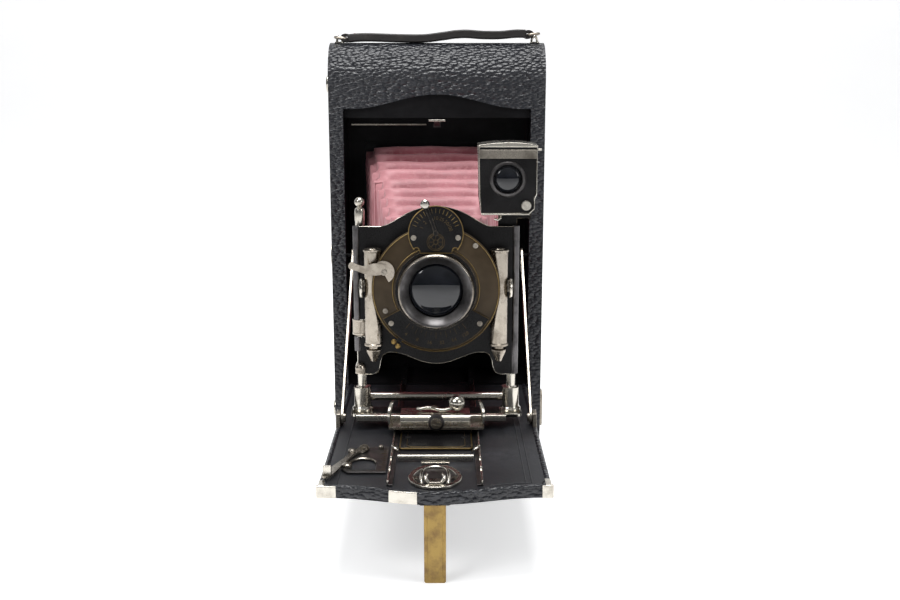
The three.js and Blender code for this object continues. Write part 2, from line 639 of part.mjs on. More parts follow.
// ---- Finder (X and Z from the middle of its lower half) ------------------------------------------
const FINDER = { halfW: 14, low: -10, high: 22, front: -16, rear: 4 };
const PIVOT = [8.9, -6, 1.4]; // x, z and radius of the screw that it turns on
function finderBody() {
  const { halfW, low, high, front, rear } = FINDER;
  const shape = outline([
    [-halfW + 2.5, low], [halfW - 2.5, low], [halfW - 1.6, low + 9],
    [halfW, low + 11], [halfW, high], [-halfW, high],
  ]);
  const lensHole = rod("y", 6.8, front - 1, front + 5, [0, 6.5], 24);
  const pivotHole = rod("y", PIVOT[2] + GAP, front - 1, rear + 1, PIVOT, 14);
  return cut(slab("xz", shape, front, rear), lensHole, pivotHole);
}
piece(finder, "finder_body", finderBody(), black_paint);
piece(
  finder,
  "finder_lens",
  turned("y", [[0, -16.2], [4.5, -15.8], [6.4, -14.8], [6.4, -12], [0, -12]], [0, 6.5], 24),
  glass,
);
const hoodX = FINDER.halfW + 0.8;
const finderHood = box(
  -hoodX, hoodX, FINDER.front - GAP, FINDER.rear + GAP, FINDER.high + 0.2, FINDER.high + 2,
);
piece(finder, "finder_hood", finderHood, nickel);
function finderBracket() {
  const STEM = { x0: -3.5, x1: 6, low: -27, high: 2 };
  const PLATE = { x1: 13, low: -15 };
  const FOOT_T = 2;
  const front = FINDER.rear + 0.5;
  const back = FINDER.rear + 2;
  const stem = box(STEM.x0, STEM.x1, front, back, STEM.low, STEM.high);
  const plate = box(STEM.x0, PLATE.x1, front, back, PLATE.low, STEM.high);
  const foot = box(STEM.x0, STEM.x1, BOARD_T + GAP, back, STEM.low, STEM.low + FOOT_T);
  const screw = rod("y", PIVOT[2], FINDER.front - 0.9, FINDER.rear + 1, PIVOT, 14);
  const head = rod("y", 2.5, FINDER.front - 1.6, FINDER.front - 0.4, PIVOT, 16);
  return join(plate, stem, foot, screw, head);
}
piece(finder, "finder_bracket", finderBracket(), black_paint);

export default camera;
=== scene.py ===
# The folding camera's looks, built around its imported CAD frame. Lengths are in millimetres in the
# helpers below; y is measured from the body's front face towards its back, as on the real camera.
import math

import bmesh
import bpy
from mathutils import Matrix, Vector


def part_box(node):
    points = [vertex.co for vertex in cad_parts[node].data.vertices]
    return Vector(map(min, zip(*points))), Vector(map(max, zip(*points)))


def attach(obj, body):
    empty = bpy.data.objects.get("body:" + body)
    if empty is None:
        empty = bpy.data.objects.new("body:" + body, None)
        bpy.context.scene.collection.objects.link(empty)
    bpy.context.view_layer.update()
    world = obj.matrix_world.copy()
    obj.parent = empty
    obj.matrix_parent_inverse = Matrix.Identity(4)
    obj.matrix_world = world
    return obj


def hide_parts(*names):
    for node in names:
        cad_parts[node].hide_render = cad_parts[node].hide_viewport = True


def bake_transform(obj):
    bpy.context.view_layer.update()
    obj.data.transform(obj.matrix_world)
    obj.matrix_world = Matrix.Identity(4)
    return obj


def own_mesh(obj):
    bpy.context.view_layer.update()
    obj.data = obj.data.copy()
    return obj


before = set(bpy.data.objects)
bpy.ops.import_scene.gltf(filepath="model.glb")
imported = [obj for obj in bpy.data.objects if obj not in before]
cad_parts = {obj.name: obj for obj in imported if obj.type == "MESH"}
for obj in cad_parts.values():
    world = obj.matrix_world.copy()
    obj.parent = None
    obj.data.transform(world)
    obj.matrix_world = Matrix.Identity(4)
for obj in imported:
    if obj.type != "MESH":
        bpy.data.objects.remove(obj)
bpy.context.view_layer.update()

MM = 0.001
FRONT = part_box("body_shell")[0][1]
SIDES = ((-1, "left"), (1, "right"))


def at(x, y, z):
    return Vector((x * MM, FRONT + y * MM, z * MM))


def span(node):
    """A CAD node's box in millimetres, in the helpers' own axes: (low, high)."""
    low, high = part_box(node)
    return [Vector((c[0] / MM, (c[1] - FRONT) / MM, c[2] / MM)) for c in (low, high)]


def centre(node):
    low, high = span(node)
    return (low + high) / 2


# ---- Materials ---------------------------------------------------------------------------------
class Nodes:
    """A short way to write a procedural material, with coordinates in millimetres on the piece."""

    def __init__(self, name):
        self.material = bpy.data.materials.new(name)
        self.material.use_nodes = True
        self.tree = self.material.node_tree
        self.shader = self.tree.nodes["Principled BSDF"]
        coords = self.node("TexCoord").outputs["Object"]
        self.where = self.node("Mapping", Vector=coords, Scale=(1000, 1000, 1000)).outputs["Vector"]

    def node(self, kind, **inputs):
        """A new node; each input is a plain value or another node's output."""
        node = self.tree.nodes.new("ShaderNode" + kind)
        for socket, value in inputs.items():
            self.link(value, node.inputs[socket.replace("_", " ")])
        return node

    def link(self, value, socket):
        if hasattr(value, "is_output"):
            self.tree.links.new(value, socket)
        else:
            socket.default_value = value

    def set(self, socket, value):
        self.link(value, self.shader.inputs[socket])

    def stretched(self, scale):
        return self.node("Mapping", Vector=self.where, Scale=scale).outputs["Vector"]

    def noise(self, size, detail=3.0, rough=0.55, distort=0.0, where=None):
        return self.node("TexNoise", Vector=where or self.where, Scale=1 / size, Detail=detail,
                         Roughness=rough, Distortion=distort).outputs["Fac"]

    def cells(self, size, where=None):
        return self.node("TexVoronoi", Vector=where or self.where, Scale=1 / size).outputs["Distance"]

    def ramp(self, value, low, high, a=0.0, b=1.0):
        node = self.tree.nodes.new("ShaderNodeMapRange")
        node.interpolation_type = "SMOOTHSTEP"
        self.link(value, node.inputs["Value"])
        for socket, number in (("From Min", low), ("From Max", high), ("To Min", a), ("To Max", b)):
            node.inputs[socket].default_value = number
        return node.outputs["Result"]

    def math(self, kind, a, b=0.0):
        node = self.node("Math")
        node.operation = kind
        self.link(a, node.inputs[0])
        self.link(b, node.inputs[1])
        return node.outputs[0]

    def plus(self, a, b):
        return self.math("ADD", a, b)

    def times(self, a, b):
        return self.math("MULTIPLY", a, b)

    def mix(self, factor, a, b):
        node = self.node("Mix")
        node.data_type = "RGBA"
        self.link(factor, node.inputs["Factor"])
        for socket, colour in (("A", a), ("B", b)):
            target = [i for i in node.inputs if i.name == socket and i.type == "RGBA"][0]
            self.link(colour if hasattr(colour, "is_output") else (*colour, 1), target)
        return [o for o in node.outputs if o.type == "RGBA"][0]

    def edge(self, radius=0.5):
        """About 1 beside an edge and 0 on flats."""
        rounded_off = self.node("Bevel", Radius=radius * MM)
        rounded_off.samples = 4
        alike = self.node("VectorMath")
        alike.operation = "DOT_PRODUCT"
        self.link(rounded_off.outputs["Normal"], alike.inputs[0])
        self.link(self.node("NewGeometry").outputs["Normal"], alike.inputs[1])
        return self.ramp(alike.outputs["Value"], 0.9, 0.99, 1.0, 0.0)

    def ridge(self):
        """About 1 on the outer folds of a finely divided skin."""
        return self.ramp(self.node("NewGeometry").outputs["Pointiness"], 0.5, 0.53)

    def bump(self, value, depth, strength=1.0):
        node = self.node("Bump", Strength=strength, Distance=depth * MM, Height=value)
        self.set("Normal", node.outputs["Normal"])


def pebbled_leather(name, dark, worn, grain, wear=0.5):
    m = Nodes(name)
    laid = m.stretched((0.6, 0.85, 1.0))
    warp = m.noise(grain * 2.4, 3, where=laid)
    cell = m.cells(grain, where=laid)
    fine = m.noise(grain * 0.25, 4)
    hide = m.noise(grain * 12, 3)
    domes = m.math("SUBTRACT", 1.0, m.math("POWER", m.times(cell, 1.35), 2.0))
    relief = m.plus(m.plus(domes, m.times(warp, 0.3)), m.times(fine, 0.1))
    scuff = m.times(m.ramp(relief, 0.8, 1.2), m.ramp(hide, 0.42, 0.72, 0.12, wear))
    m.set("Base Color", m.mix(scuff, dark, worn))
    m.set("Roughness", m.plus(m.ramp(fine, 0.3, 0.7, 0.25, 0.36), m.times(scuff, 0.1)))
    m.shader.inputs["Specular IOR Level"].default_value = 0.45
    m.bump(relief, 0.85, 0.6)
    return m.material


def smooth_leather(name, dark, worn, grain=0.9):
    m = Nodes(name)
    pores = m.cells(grain)
    fine = m.noise(grain * 0.5, 5)
    broad = m.noise(26, 4)
    rub = m.noise(5, 5, 0.7)
    factor = m.times(m.ramp(broad, 0.4, 0.7), m.ramp(rub, 0.35, 0.75))
    m.set("Base Color", m.mix(factor, dark, worn))
    m.set("Roughness", m.ramp(m.plus(fine, m.times(broad, 0.5)), 0.5, 1.0, 0.36, 0.6))
    m.bump(m.plus(m.times(pores, 0.5), fine), 0.09, 0.7)
    return m.material


def enamel(name, colour, worn, chips=0.62, gloss=0.3):
    m = Nodes(name)
    spots = m.noise(3.2, 6, 0.72)
    broad = m.noise(22, 3)
    dust = m.noise(0.5, 3)
    rubbed = m.times(m.edge(), m.ramp(spots, 0.4, 0.6))
    bare = m.math("MAXIMUM", rubbed, m.ramp(spots, chips, chips + 0.06))
    shade = m.mix(m.ramp(broad, 0.35, 0.7), colour, [c * 1.7 + 0.003 for c in colour])
    m.set("Base Color", m.mix(bare, shade, worn))
    m.set("Metallic", m.times(bare, 0.8))
    m.set("Roughness", m.plus(m.ramp(dust, 0.3, 0.7, gloss, gloss + 0.14), m.times(bare, 0.1)))
    m.shader.inputs["Specular IOR Level"].default_value = 0.12
    m.bump(m.math("SUBTRACT", m.times(broad, 0.4), m.times(bare, 0.6)), 0.05, 0.5)
    return m.material


def plated(name, bright, tarnish, amount=0.5, rough=0.16, brushed=(1, 1, 1)):
    m = Nodes(name)
    clouds = m.noise(9, 5, 0.65)
    specks = m.noise(0.9, 5, 0.7)
    grain = m.noise(0.35, 2, where=m.stretched(brushed))
    stain = m.times(m.ramp(clouds, 0.42, 0.75), amount)
    pits = m.ramp(specks, 0.66, 0.74)
    m.set("Base Color", m.mix(m.math("MAXIMUM", stain, m.times(pits, 0.75)), bright, tarnish))
    m.set("Metallic", 1.0)
    roughness = m.plus(m.ramp(clouds, 0.3, 0.8, rough, rough + 0.16), m.times(pits, 0.3))
    m.set("Roughness", m.plus(roughness, m.ramp(grain, 0.3, 0.7, 0.0, 0.07)))
    m.bump(m.plus(m.times(grain, 0.4), m.times(clouds, 0.8)), 0.035, 0.4)
    return m.material


def bellows_leather():
    m = Nodes("bellows_leather")
    broad = m.noise(16, 4)
    rub = m.noise(3.5, 6, 0.7)
    pores = m.noise(0.45, 4)
    crease = m.noise(1.6, 5, 0.6, 0.6, where=m.stretched((0.35, 1, 1)))
    faded = m.mix(m.ramp(broad, 0.3, 0.7), (0.2, 0.034, 0.046), (0.32, 0.082, 0.102))
    rubbed = m.mix(m.times(m.ramp(rub, 0.45, 0.75), 0.7), faded, (0.42, 0.18, 0.196))
    # The outer folds (ridge mask) are mixed towards a lighter red: painted highlight of the fold shading, on top
    # of the rubbed wear.
    m.set("Base Color", m.mix(m.times(m.ridge(), 0.55), rubbed, (0.55, 0.27, 0.29)))
    m.set("Roughness", m.ramp(rub, 0.3, 0.7, 0.42, 0.62))
    m.shader.inputs["Sheen Weight"].default_value = 0.15
    m.bump(m.plus(pores, m.times(crease, 1.2)), 0.13, 0.7)
    return m.material


def lens_glass():
    m = Nodes("lens_glass")
    haze = m.noise(6, 4)
    m.set("Base Color", m.mix(m.ramp(haze, 0.3, 0.8), (0.004, 0.005, 0.007), (0.012, 0.013, 0.017)))
    m.set("Roughness", m.ramp(haze, 0.3, 0.8, 0.02, 0.07))
    m.shader.inputs["IOR"].default_value = 1.6
    return m.material


def ruby_window():
    m = Nodes("ruby_window")
    cloud = m.noise(2.4, 4)
    m.set("Base Color", m.mix(m.ramp(cloud, 0.3, 0.7), (0.22, 0.008, 0.012), (0.4, 0.02, 0.02)))
    m.set("Roughness", m.ramp(cloud, 0.3, 0.7, 0.1, 0.22))
    m.shader.inputs["Coat Weight"].default_value = 0.6
    m.bump(cloud, 0.05, 0.4)
    return m.material


def stained_wood():
    m = Nodes("spool_wood")
    grain = m.noise(0.9, 5, 0.6, 0.4, where=m.stretched((0.08, 1, 1)))
    broad = m.noise(14, 3)
    m.set("Base Color", m.mix(m.ramp(grain, 0.35, 0.7), (0.03, 0.018, 0.01), (0.1, 0.06, 0.03)))
    m.set("Roughness", m.ramp(broad, 0.3, 0.7, 0.5, 0.7))
    m.bump(grain, 0.12, 0.6)
    return m.material


FLOOR_GLOW = 0.5


def backdrop():
    m = Nodes("backdrop")
    mottle = m.noise(60, 3)
    m.set("Base Color", m.mix(mottle, (0.88, 0.88, 0.885), (0.92, 0.92, 0.925)))
    m.shader.inputs["Emission Color"].default_value = (1, 1, 1, 1)
    m.shader.inputs["Emission Strength"].default_value = FLOOR_GLOW
    m.set("Roughness", m.ramp(mottle, 0.3, 0.7, 0.55, 0.7))
    return m.material


LEATHER = pebbled_leather("body_leather", (0.0075, 0.0082, 0.0115), (0.05, 0.052, 0.062), 1.7)
BED_LEATHER = smooth_leather("bed_leather", (0.007, 0.0075, 0.010), (0.028, 0.029, 0.035))
STRAP_LEATHER = smooth_leather("strap_leather", (0.006, 0.0045, 0.004), (0.03, 0.022, 0.018), 0.7)
INNER_BLACK = enamel("inner_black", (0.0028, 0.0028, 0.0034), (0.018, 0.017, 0.016), 0.78, 0.5)
ENAMEL = enamel("black_enamel", (0.0055, 0.0052, 0.0055), (0.2, 0.165, 0.12), 0.74, 0.22)
PATINA = enamel("shutter_patina", (0.034, 0.024, 0.014), (0.17, 0.115, 0.05), 0.7, 0.28)
NICKEL = plated("nickel", (0.58, 0.55, 0.49), (0.19, 0.16, 0.12), 0.5, 0.12)
AGED_NICKEL = plated("aged_nickel", (0.43, 0.385, 0.325), (0.12, 0.095, 0.07), 0.7, 0.17)
OLD_NICKEL = plated("old_nickel", (0.34, 0.31, 0.265), (0.07, 0.058, 0.048), 0.8, 0.2)
BRASS = plated("brass", (0.30, 0.205, 0.07), (0.12, 0.07, 0.045), 0.75, 0.3, (1, 1, 0.15))
BRASS_LINE = plated("brass_line", (0.23, 0.16, 0.065), (0.08, 0.055, 0.028), 0.6, 0.32)
ENGRAVING = plated("worn_engraving", (0.085, 0.062, 0.034), (0.03, 0.022, 0.014), 0.6, 0.4)
GUNMETAL = plated("gunmetal", (0.11, 0.105, 0.105), (0.03, 0.027, 0.026), 0.7, 0.26)
ROLLED_EDGE = plated("rolled_edge", (0.13, 0.124, 0.126), (0.035, 0.032, 0.033), 0.8, 0.24)
BELLOWS = bellows_leather()
GLASS = lens_glass()
RUBY = ruby_window()
WOOD = stained_wood()
SLOTS = {material.name: slot for slot, materials in (
    ("nickel", (NICKEL, AGED_NICKEL, OLD_NICKEL, GUNMETAL)), ("brass", (BRASS, BRASS_LINE, ENGRAVING)),
    ("black_enamel", (ENAMEL, INNER_BLACK, ROLLED_EDGE)), ("black_leather", (LEATHER, BED_LEATHER)),
    ("brown_leather", (STRAP_LEATHER,)), ("bellows_leather", (BELLOWS,)), ("glass", (GLASS,)),
) for material in materials}


# ---- Solids, as bmeshes in millimetres -----------------------------------------------------------
def arc(a, b, r, start, end, steps=24):
    """Points on a round stretch, angles in degrees from the first axis towards the second."""
    turn = [math.radians(start + (end - start) * i / steps) for i in range(steps + 1)]
    return [(a + r * math.cos(t), b + r * math.sin(t)) for t in turn]


def about(a, b, r, angle):
    return arc(a, b, r, angle, angle, 1)[0]


def circle(a, b, r, steps=48):
    return arc(a, b, r, 0, 360, steps)[:-1]


def rounded(a0, a1, b0, b1, r, steps=5):
    corners = [(a1 - r, b1 - r), (a0 + r, b1 - r), (a0 + r, b0 + r), (a1 - r, b0 + r)]
    points = []
    for quarter, (a, b) in enumerate(corners):
        points += arc(a, b, r, quarter * 90, quarter * 90 + 90, steps)
    return points


PLANES = {"xy": (0, 1, 2), "yz": (1, 2, 0), "xz": (0, 2, 1)}


def slab(plane, outline, low, high, holes=()):
    """An outline with holes, given thickness from low to high along the plane's normal axis."""
    first, second, normal = PLANES[plane]
    bm = bmesh.new()

    def place(a, b):
        co = [0, 0, 0]
        co[first], co[second], co[normal] = a, b, low
        return bm.verts.new(co)

    for loop in (outline, *holes):
        verts = [place(a, b) for a, b in loop]
        for i, vert in enumerate(verts):
            bm.edges.new((vert, verts[(i + 1) % len(verts)]))
    bmesh.ops.triangle_fill(bm, use_beauty=True, edges=bm.edges[:])
    shift = [0, 0, 0]
    shift[normal] = high - low
    grown = bmesh.ops.extrude_face_region(bm, geom=bm.faces[:])
    bmesh.ops.translate(bm, vec=shift, verts=[v for v in grown["geom"] if isinstance(v, bmesh.types.BMVert)])
    bmesh.ops.recalc_face_normals(bm, faces=bm.faces[:])
    return bm


def block(x0, x1, y0, y1, z0, z1):
    return slab("xy", [(x0, y0), (x1, y0), (x1, y1), (x0, y1)], z0, z1)


def loft(bm, rings, closed=True, caps=False):
    """Skins a row of rings that have equally many points."""
    for low, high in zip(rings, rings[1:]):
        for k in range(len(low) if closed else len(low) - 1):
            j = (k + 1) % len(low)
            bm.faces.new((low[k], low[j], high[j], high[k]))
    if caps:
        bm.faces.new(rings[0])
        bm.faces.new(rings[-1])
    bmesh.ops.recalc_face_normals(bm, faces=bm.faces[:])
    return bm


AXES = {"x": (1, 2, 0), "y": (0, 2, 1), "z": (0, 1, 2)}


def turned(axis, profile, middle, steps=48, base=0.0):
    """A round piece: the profile's points are (radius, distance along the axis from base)."""
    first, second, along = AXES[axis]
    bm = bmesh.new()
    rings = []
    for r, h in profile:
        ring = []
        for i in range(steps if r > 1e-6 else 1):
            turn = 2 * math.pi * i / steps
            co = [0, 0, 0]
            co[first], co[second] = middle[0] + r * math.cos(turn), middle[1] + r * math.sin(turn)
            co[along] = base + h
            ring.append(bm.verts.new(co))
        rings.append(ring)
    for low, high in zip(rings, rings[1:]):
        for i in range(steps):
            j = (i + 1) % steps
            corners = [low[i % len(low)], low[j % len(low)], high[j % len(high)], high[i % len(high)]]
            unique = list(dict.fromkeys(corners))
            if len(unique) > 2:
                bm.faces.new(unique)
    if len(rings[0]) > 1 and profile[0] == profile[-1]:
        bmesh.ops.remove_doubles(bm, verts=bm.verts[:], dist=1e-5)
    bmesh.ops.recalc_face_normals(bm, faces=bm.faces[:])
    return bm


def rod(axis, r, low, high, middle, steps=32):
    return turned(axis, [(0, low), (r, low), (r, high), (0, high)], middle, steps)


def on_front(points, y):
    """Points (x, z) of an outline that faces forwards, as points in space."""
    return [(x, y, z) for x, z in points]


def on_top(points, z):
    return [(x, y, z) for x, y in points]


def moved(points, a, b):
    return [(a + p, b + q) for p, q in points]


def scaled(points, a, b):
    return [(a * p, b * q) for p, q in points]


def wire(points, r, closed=False, sides=12, flat=1.0):
    """A round wire along points; flat squeezes it along its second cross axis."""
    path = [Vector(p) for p in points]
    count = len(path)
    bm = bmesh.new()
    rings = []
    up = Vector((0, 0, 1))
    for i, p in enumerate(path):
        before = path[i - 1] if i or closed else p
        after = path[(i + 1) % count] if i < count - 1 or closed else p
        along = (after - before).normalized()
        side = along.cross(up if abs(along.dot(up)) < 0.95 else Vector((0, 1, 0))).normalized()
        if rings and side.dot(last_side) < 0:
            side = -side
        last_side = side
        cross = side.cross(along)
        ring = []
        for k in range(sides):
            turn = 2 * math.pi * k / sides
            ring.append(bm.verts.new(p + side * math.cos(turn) * r + cross * math.sin(turn) * r * flat))
        rings.append(ring)
    return loft(bm, rings + rings[:1] if closed else rings, caps=not closed)


def joined(*parts):
    """Several solids in one bmesh."""
    whole = bmesh.new()
    for part in parts:
        mesh = bpy.data.meshes.new("part")
        part.to_mesh(mesh)
        whole.from_mesh(mesh)
        bpy.data.meshes.remove(mesh)
        part.free()
    return whole


def turn(bm, angle, pivot, axis):
    """Turns a solid by an angle in degrees about a point."""
    pivot = Vector(pivot)
    bmesh.ops.rotate(bm, cent=pivot, matrix=Matrix.Rotation(math.radians(angle), 3, axis), verts=bm.verts[:])
    return bm


def piece(name, bm, material, body, bevel=0.0, sharp=32, replaces=None, slot=None):
    """Makes an object of a solid, in the CAD's frame, riding on a CAD body if one is named."""
    mesh = bpy.data.meshes.new(name)
    bmesh.ops.transform(bm, matrix=Matrix.Translation((0, FRONT, 0)) @ Matrix.Scale(MM, 4), verts=bm.verts[:])
    bm.to_mesh(mesh)
    bm.free()
    obj = bpy.data.objects.new(name, mesh)
    bpy.context.scene.collection.objects.link(obj)
    mesh.materials.append(material)
    soften(obj, bevel, sharp)
    slot = slot or SLOTS.get(material.name)
    if body:
        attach(obj, body)
    if replaces:
        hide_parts(replaces)
    return obj


def soften(obj, bevel, sharp=32):
    obj.data.polygons.foreach_set("use_smooth", [True] * len(obj.data.polygons))
    obj.data.set_sharp_from_angle(angle=math.radians(sharp))
    if bevel:
        mod = obj.modifiers.new("edge", "BEVEL")
        mod.width = bevel * MM
        mod.segments = 2
        mod.limit_method = "ANGLE"
        mod.angle_limit = math.radians(sharp)
        mod.harden_normals = True


def keep(node, material, bevel=0.0, sharp=32):
    """A CAD node that stays, with a finished surface."""
    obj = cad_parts[node]
    obj.data.materials.clear()
    obj.data.materials.append(material)
    soften(obj, bevel, sharp)
    return obj


def lettering(name, marks, size, y):
    """Generic figures on a face that looks along -Y: marks are (text, x, z, turn in degrees)."""
    whole = bmesh.new()
    for text, x, z, angle in marks:
        curve = bpy.data.curves.new(name, "FONT")
        curve.body = text
        curve.size = size
        curve.align_x = "CENTER"
        curve.align_y = "CENTER"
        curve.extrude = 0.02
        holder = bpy.data.objects.new(name, curve)
        bpy.context.scene.collection.objects.link(holder)
        mesh = bpy.data.meshes.new_from_object(holder.evaluated_get(bpy.context.evaluated_depsgraph_get()))
        where = Matrix.Translation((x, y, z)) @ Matrix.Rotation(math.radians(angle), 4, "Y")
        mesh.transform(where @ Matrix.Rotation(math.radians(90), 4, "X"))
        whole.from_mesh(mesh)
        bpy.data.objects.remove(holder)
        bpy.data.meshes.remove(mesh)
    return piece(name, whole, ENGRAVING, "lens_standard")


def screw(name, axis, where, r, material, body, slant=35, thick=0.5):
    """A slotted screw head that stands on a face; axis is -y (front) or z (up)."""
    head = slab("xz", circle(0, 0, r, 28), -thick, 0)
    groove = []
    for side in (-1, 1):
        bow = arc(0, 0, r * 0.9, 12, 168, 14)
        groove.append(slab("xz", [(a, side * (b + 0.06 * r)) for a, b in bow], -thick - 0.35, -thick + 0.05))
    whole = joined(head, *groove)
    turn(whole, slant, (0, 0, 0), "Y")
    if axis == "z":
        turn(whole, -90, (0, 0, 0), "X")
    bmesh.ops.translate(whole, vec=Vector(where), verts=whole.verts[:])
    return piece(name, whole, material, body, bevel=0.08)


# ---- Body --------------------------------------------------------------------------------------
keep("body_shell", LEATHER, 0.9)
keep("back_cover", LEATHER, 0.7)
keep("inner_tray", INNER_BLACK, 0.25)
keep("red_window", RUBY, 0.2)
keep("pressure_plate", INNER_BLACK, 0.2)
for node in ("takeup_spool", "supply_spool"):
    keep(node, WOOD, 0.3)
for node in ("upper_film_roller", "lower_film_roller", "bed_hinge_rod", "back_latch"):
    keep(node, NICKEL, 0.15)
for node in ("side_tripod_bush", "bed_tripod_bush", "winding_key"):
    keep(node, OLD_NICKEL, 0.3)
for node in ("spool_pin_lower", "spool_pin_upper"):
    keep(node, NICKEL, 0.2)


def window_surround():
    low, high = span("red_window")
    x, z = (low.x + high.x) / 2, (low.z + high.z) / 2
    face = span("back_cover")[1].y
    profile = [(5.9, -1.4), (6.2, -0.1), (8.2, -0.1), (8.4, 0.35), (5.9, 0.35)]
    profile.append(profile[0])
    piece("window_ring", turned("y", profile, (x, z), 56, face), OLD_NICKEL, "back")


window_surround()


def bed_latch():
    """A thin spring leaf along the top of the well and the tongue that holds the bed shut."""
    low, high = span("bed_latch")
    tongue_x = 4.7
    leaf = block(low.x + 4.5, -tongue_x - 1.4, high.y - 0.7, high.y, high.z - 3.4, high.z - 2.6)
    piece("latch_leaf", leaf, OLD_NICKEL, "bed_latch", 0.1, replaces="bed_latch", slot="brass")
    back = block(-2.0, 2.0, high.y - 0.9, high.y, low.z, high.z)
    front, rear = low.y + 0.4, high.y - 0.9
    nose = [(front, high.z), (front, high.z - 1.3), (rear, low.z + 0.4), (rear, high.z)]
    wedge = slab("yz", nose, -1.6, 1.6)
    piece("latch_tongue", joined(back, wedge), GUNMETAL, "bed_latch", 0.15, slot="brass")
    lip = block(-tongue_x, tongue_x, low.y, high.y, high.z - 1.1, high.z)
    piece("latch_lip", lip, NICKEL, "bed_latch", 0.2, slot="brass")


bed_latch()


# ---- Bellows -----------------------------------------------------------------------------------
BELLOWS_BACK = {"y": 37.6, "w": 40.6, "h": 62.5}
BELLOWS_NOSE = {"y": -71.6, "w": 23.6, "h": 31.5}
LENS_Z = centre("lens_barrel").z
LENS_X = centre("lens_barrel").x
PLEATS = 9
PLEAT_DEPTH = 2.5
FOLD_Y = -9.4  # where the part on the bed begins, far enough forward to turn inside the rear part
BOTTOM_LIFT = 5.6
NOSE_Y = -62.0
PLEAT_STEP = 0.95
SKIN = 0.7


def bellows_ring(y, inset):
    """One loop of the pleated tube: flat sides fold out where the flanks fold in, corners between."""
    share = (BELLOWS_BACK["y"] - y) / (BELLOWS_BACK["y"] - BELLOWS_NOSE["y"])
    w = BELLOWS_BACK["w"] + (BELLOWS_NOSE["w"] - BELLOWS_BACK["w"]) * share - inset
    h = BELLOWS_BACK["h"] + (BELLOWS_NOSE["h"] - BELLOWS_BACK["h"]) * share - inset
    foot = h - BOTTOM_LIFT * (1 - share)
    wave = math.sin(2 * math.pi * PLEATS * share - math.pi / 2)
    fold = math.copysign(abs(wave) ** 0.75, wave) * PLEAT_DEPTH * (1 - 0.25 * share)
    flank = 4.6 - 1.4 * share + 2.4 * wave
    crown = 4.6 - 1.4 * share - 2.4 * wave
    points = []
    sides = [
        ((-w + crown, h), (w - crown, h), (0, 1), 1),
        ((w, h - flank), (w, -foot + flank), (1, 0), -1),
        ((w - crown, -foot), (-w + crown, -foot), (0, -1), 1),
        ((-w, -foot + flank), (-w, h - flank), (-1, 0), -1),
    ]
    steps = 14
    for (x0, z0), (x1, z1), (nx, nz), sign in sides:
        for i in range(steps + 1):
            t = i / steps
            ease = min(1.0, min(t, 1 - t) * 10 + 0.75)
            out = sign * fold * ease
            x, z = x0 + (x1 - x0) * t, z0 + (z1 - z0) * t
            sag = 0.45 * math.sin(9 * t + 0.13 * y) + 0.3 * math.sin(23 * t + 0.31 * y)
            points.append((x + nx * (out + sag * 0.5), z + nz * (out + sag * 0.5), sag))
    return [(LENS_X + x, y + sag * 0.35, LENS_Z + z) for x, z, sag in points]


def bellows_part(name, start, end, inset):
    count = max(8, int(abs(start - end) / PLEAT_STEP))
    bm = bmesh.new()
    rings = []
    for i in range(count + 1):
        y = start + (end - start) * i / count
        rings.append([bm.verts.new(co) for co in bellows_ring(y, inset)])
    obj = piece(name, loft(bm, rings), BELLOWS, None, sharp=70)
    skin = obj.modifiers.new("skin", "SOLIDIFY")
    skin.thickness = SKIN * MM
    skin.offset = -1
    return obj


def bellows_frame():
    """The card frame that carries the bellows' rear end and covers the edge of the film gate."""
    y = BELLOWS_BACK["y"]
    outline = [(-43, 59.4), (43, 59.4), (43, 184), (-43, 184)]
    opening = rounded(-37.6, 37.6, 64.6, 178, 3)
    piece("bellows_frame", slab("xz", outline, y - 0.3, y + 0.3, [opening]), INNER_BLACK, "body", 0.1)


bellows_frame()
bellows_rear = bellows_part("bellows_rear", BELLOWS_BACK["y"], FOLD_Y - 3, 0)
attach(bellows_rear, "body")
bellows_middle = bellows_part("bellows_middle", FOLD_Y, NOSE_Y, 0.75)
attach(bellows_middle, "bed")
bellows_nose = bellows_part("bellows_nose", NOSE_Y + 0.5, BELLOWS_NOSE["y"], 0.5)
for part in (bellows_rear, bellows_middle):
    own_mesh(part)
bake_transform(bellows_nose)
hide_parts("bellows")


# ---- Lens board --------------------------------------------------------------------------------
BOARD_FACE = span("lens_board")[0].y
BOARD_HALF = 40.3
BOARD_THICK = 1.4
NUT_LOW, NUT_HIGH = span("rise_nut")
NUT_ROOM = [NUT_LOW.z - LENS_Z - 0.5, NUT_HIGH.z - LENS_Z + 0.5]
NUT_EDGE = NUT_HIGH.x + 0.4


def bezier(points, steps=10):
    """A smooth line through cubic stretches: the first point, then (handle, handle, end) triples."""
    line = [points[0]]
    for i in range(1, len(points) - 2, 3):
        a, b, c, d = (Vector(p) for p in (line[-1], *points[i:i + 3]))
        for k in range(1, steps + 1):
            t = k / steps
            p = a * (1 - t) ** 3 + b * 3 * t * (1 - t) ** 2 + c * 3 * t * t * (1 - t) + d * t ** 3
            line.append((p.x, p.y))
    return line


def mirrored(right):
    """A whole outline from its right half, which runs from the bottom middle to the top middle."""
    return right + [(-x, z) for x, z in reversed(right) if abs(x) > 1e-6]


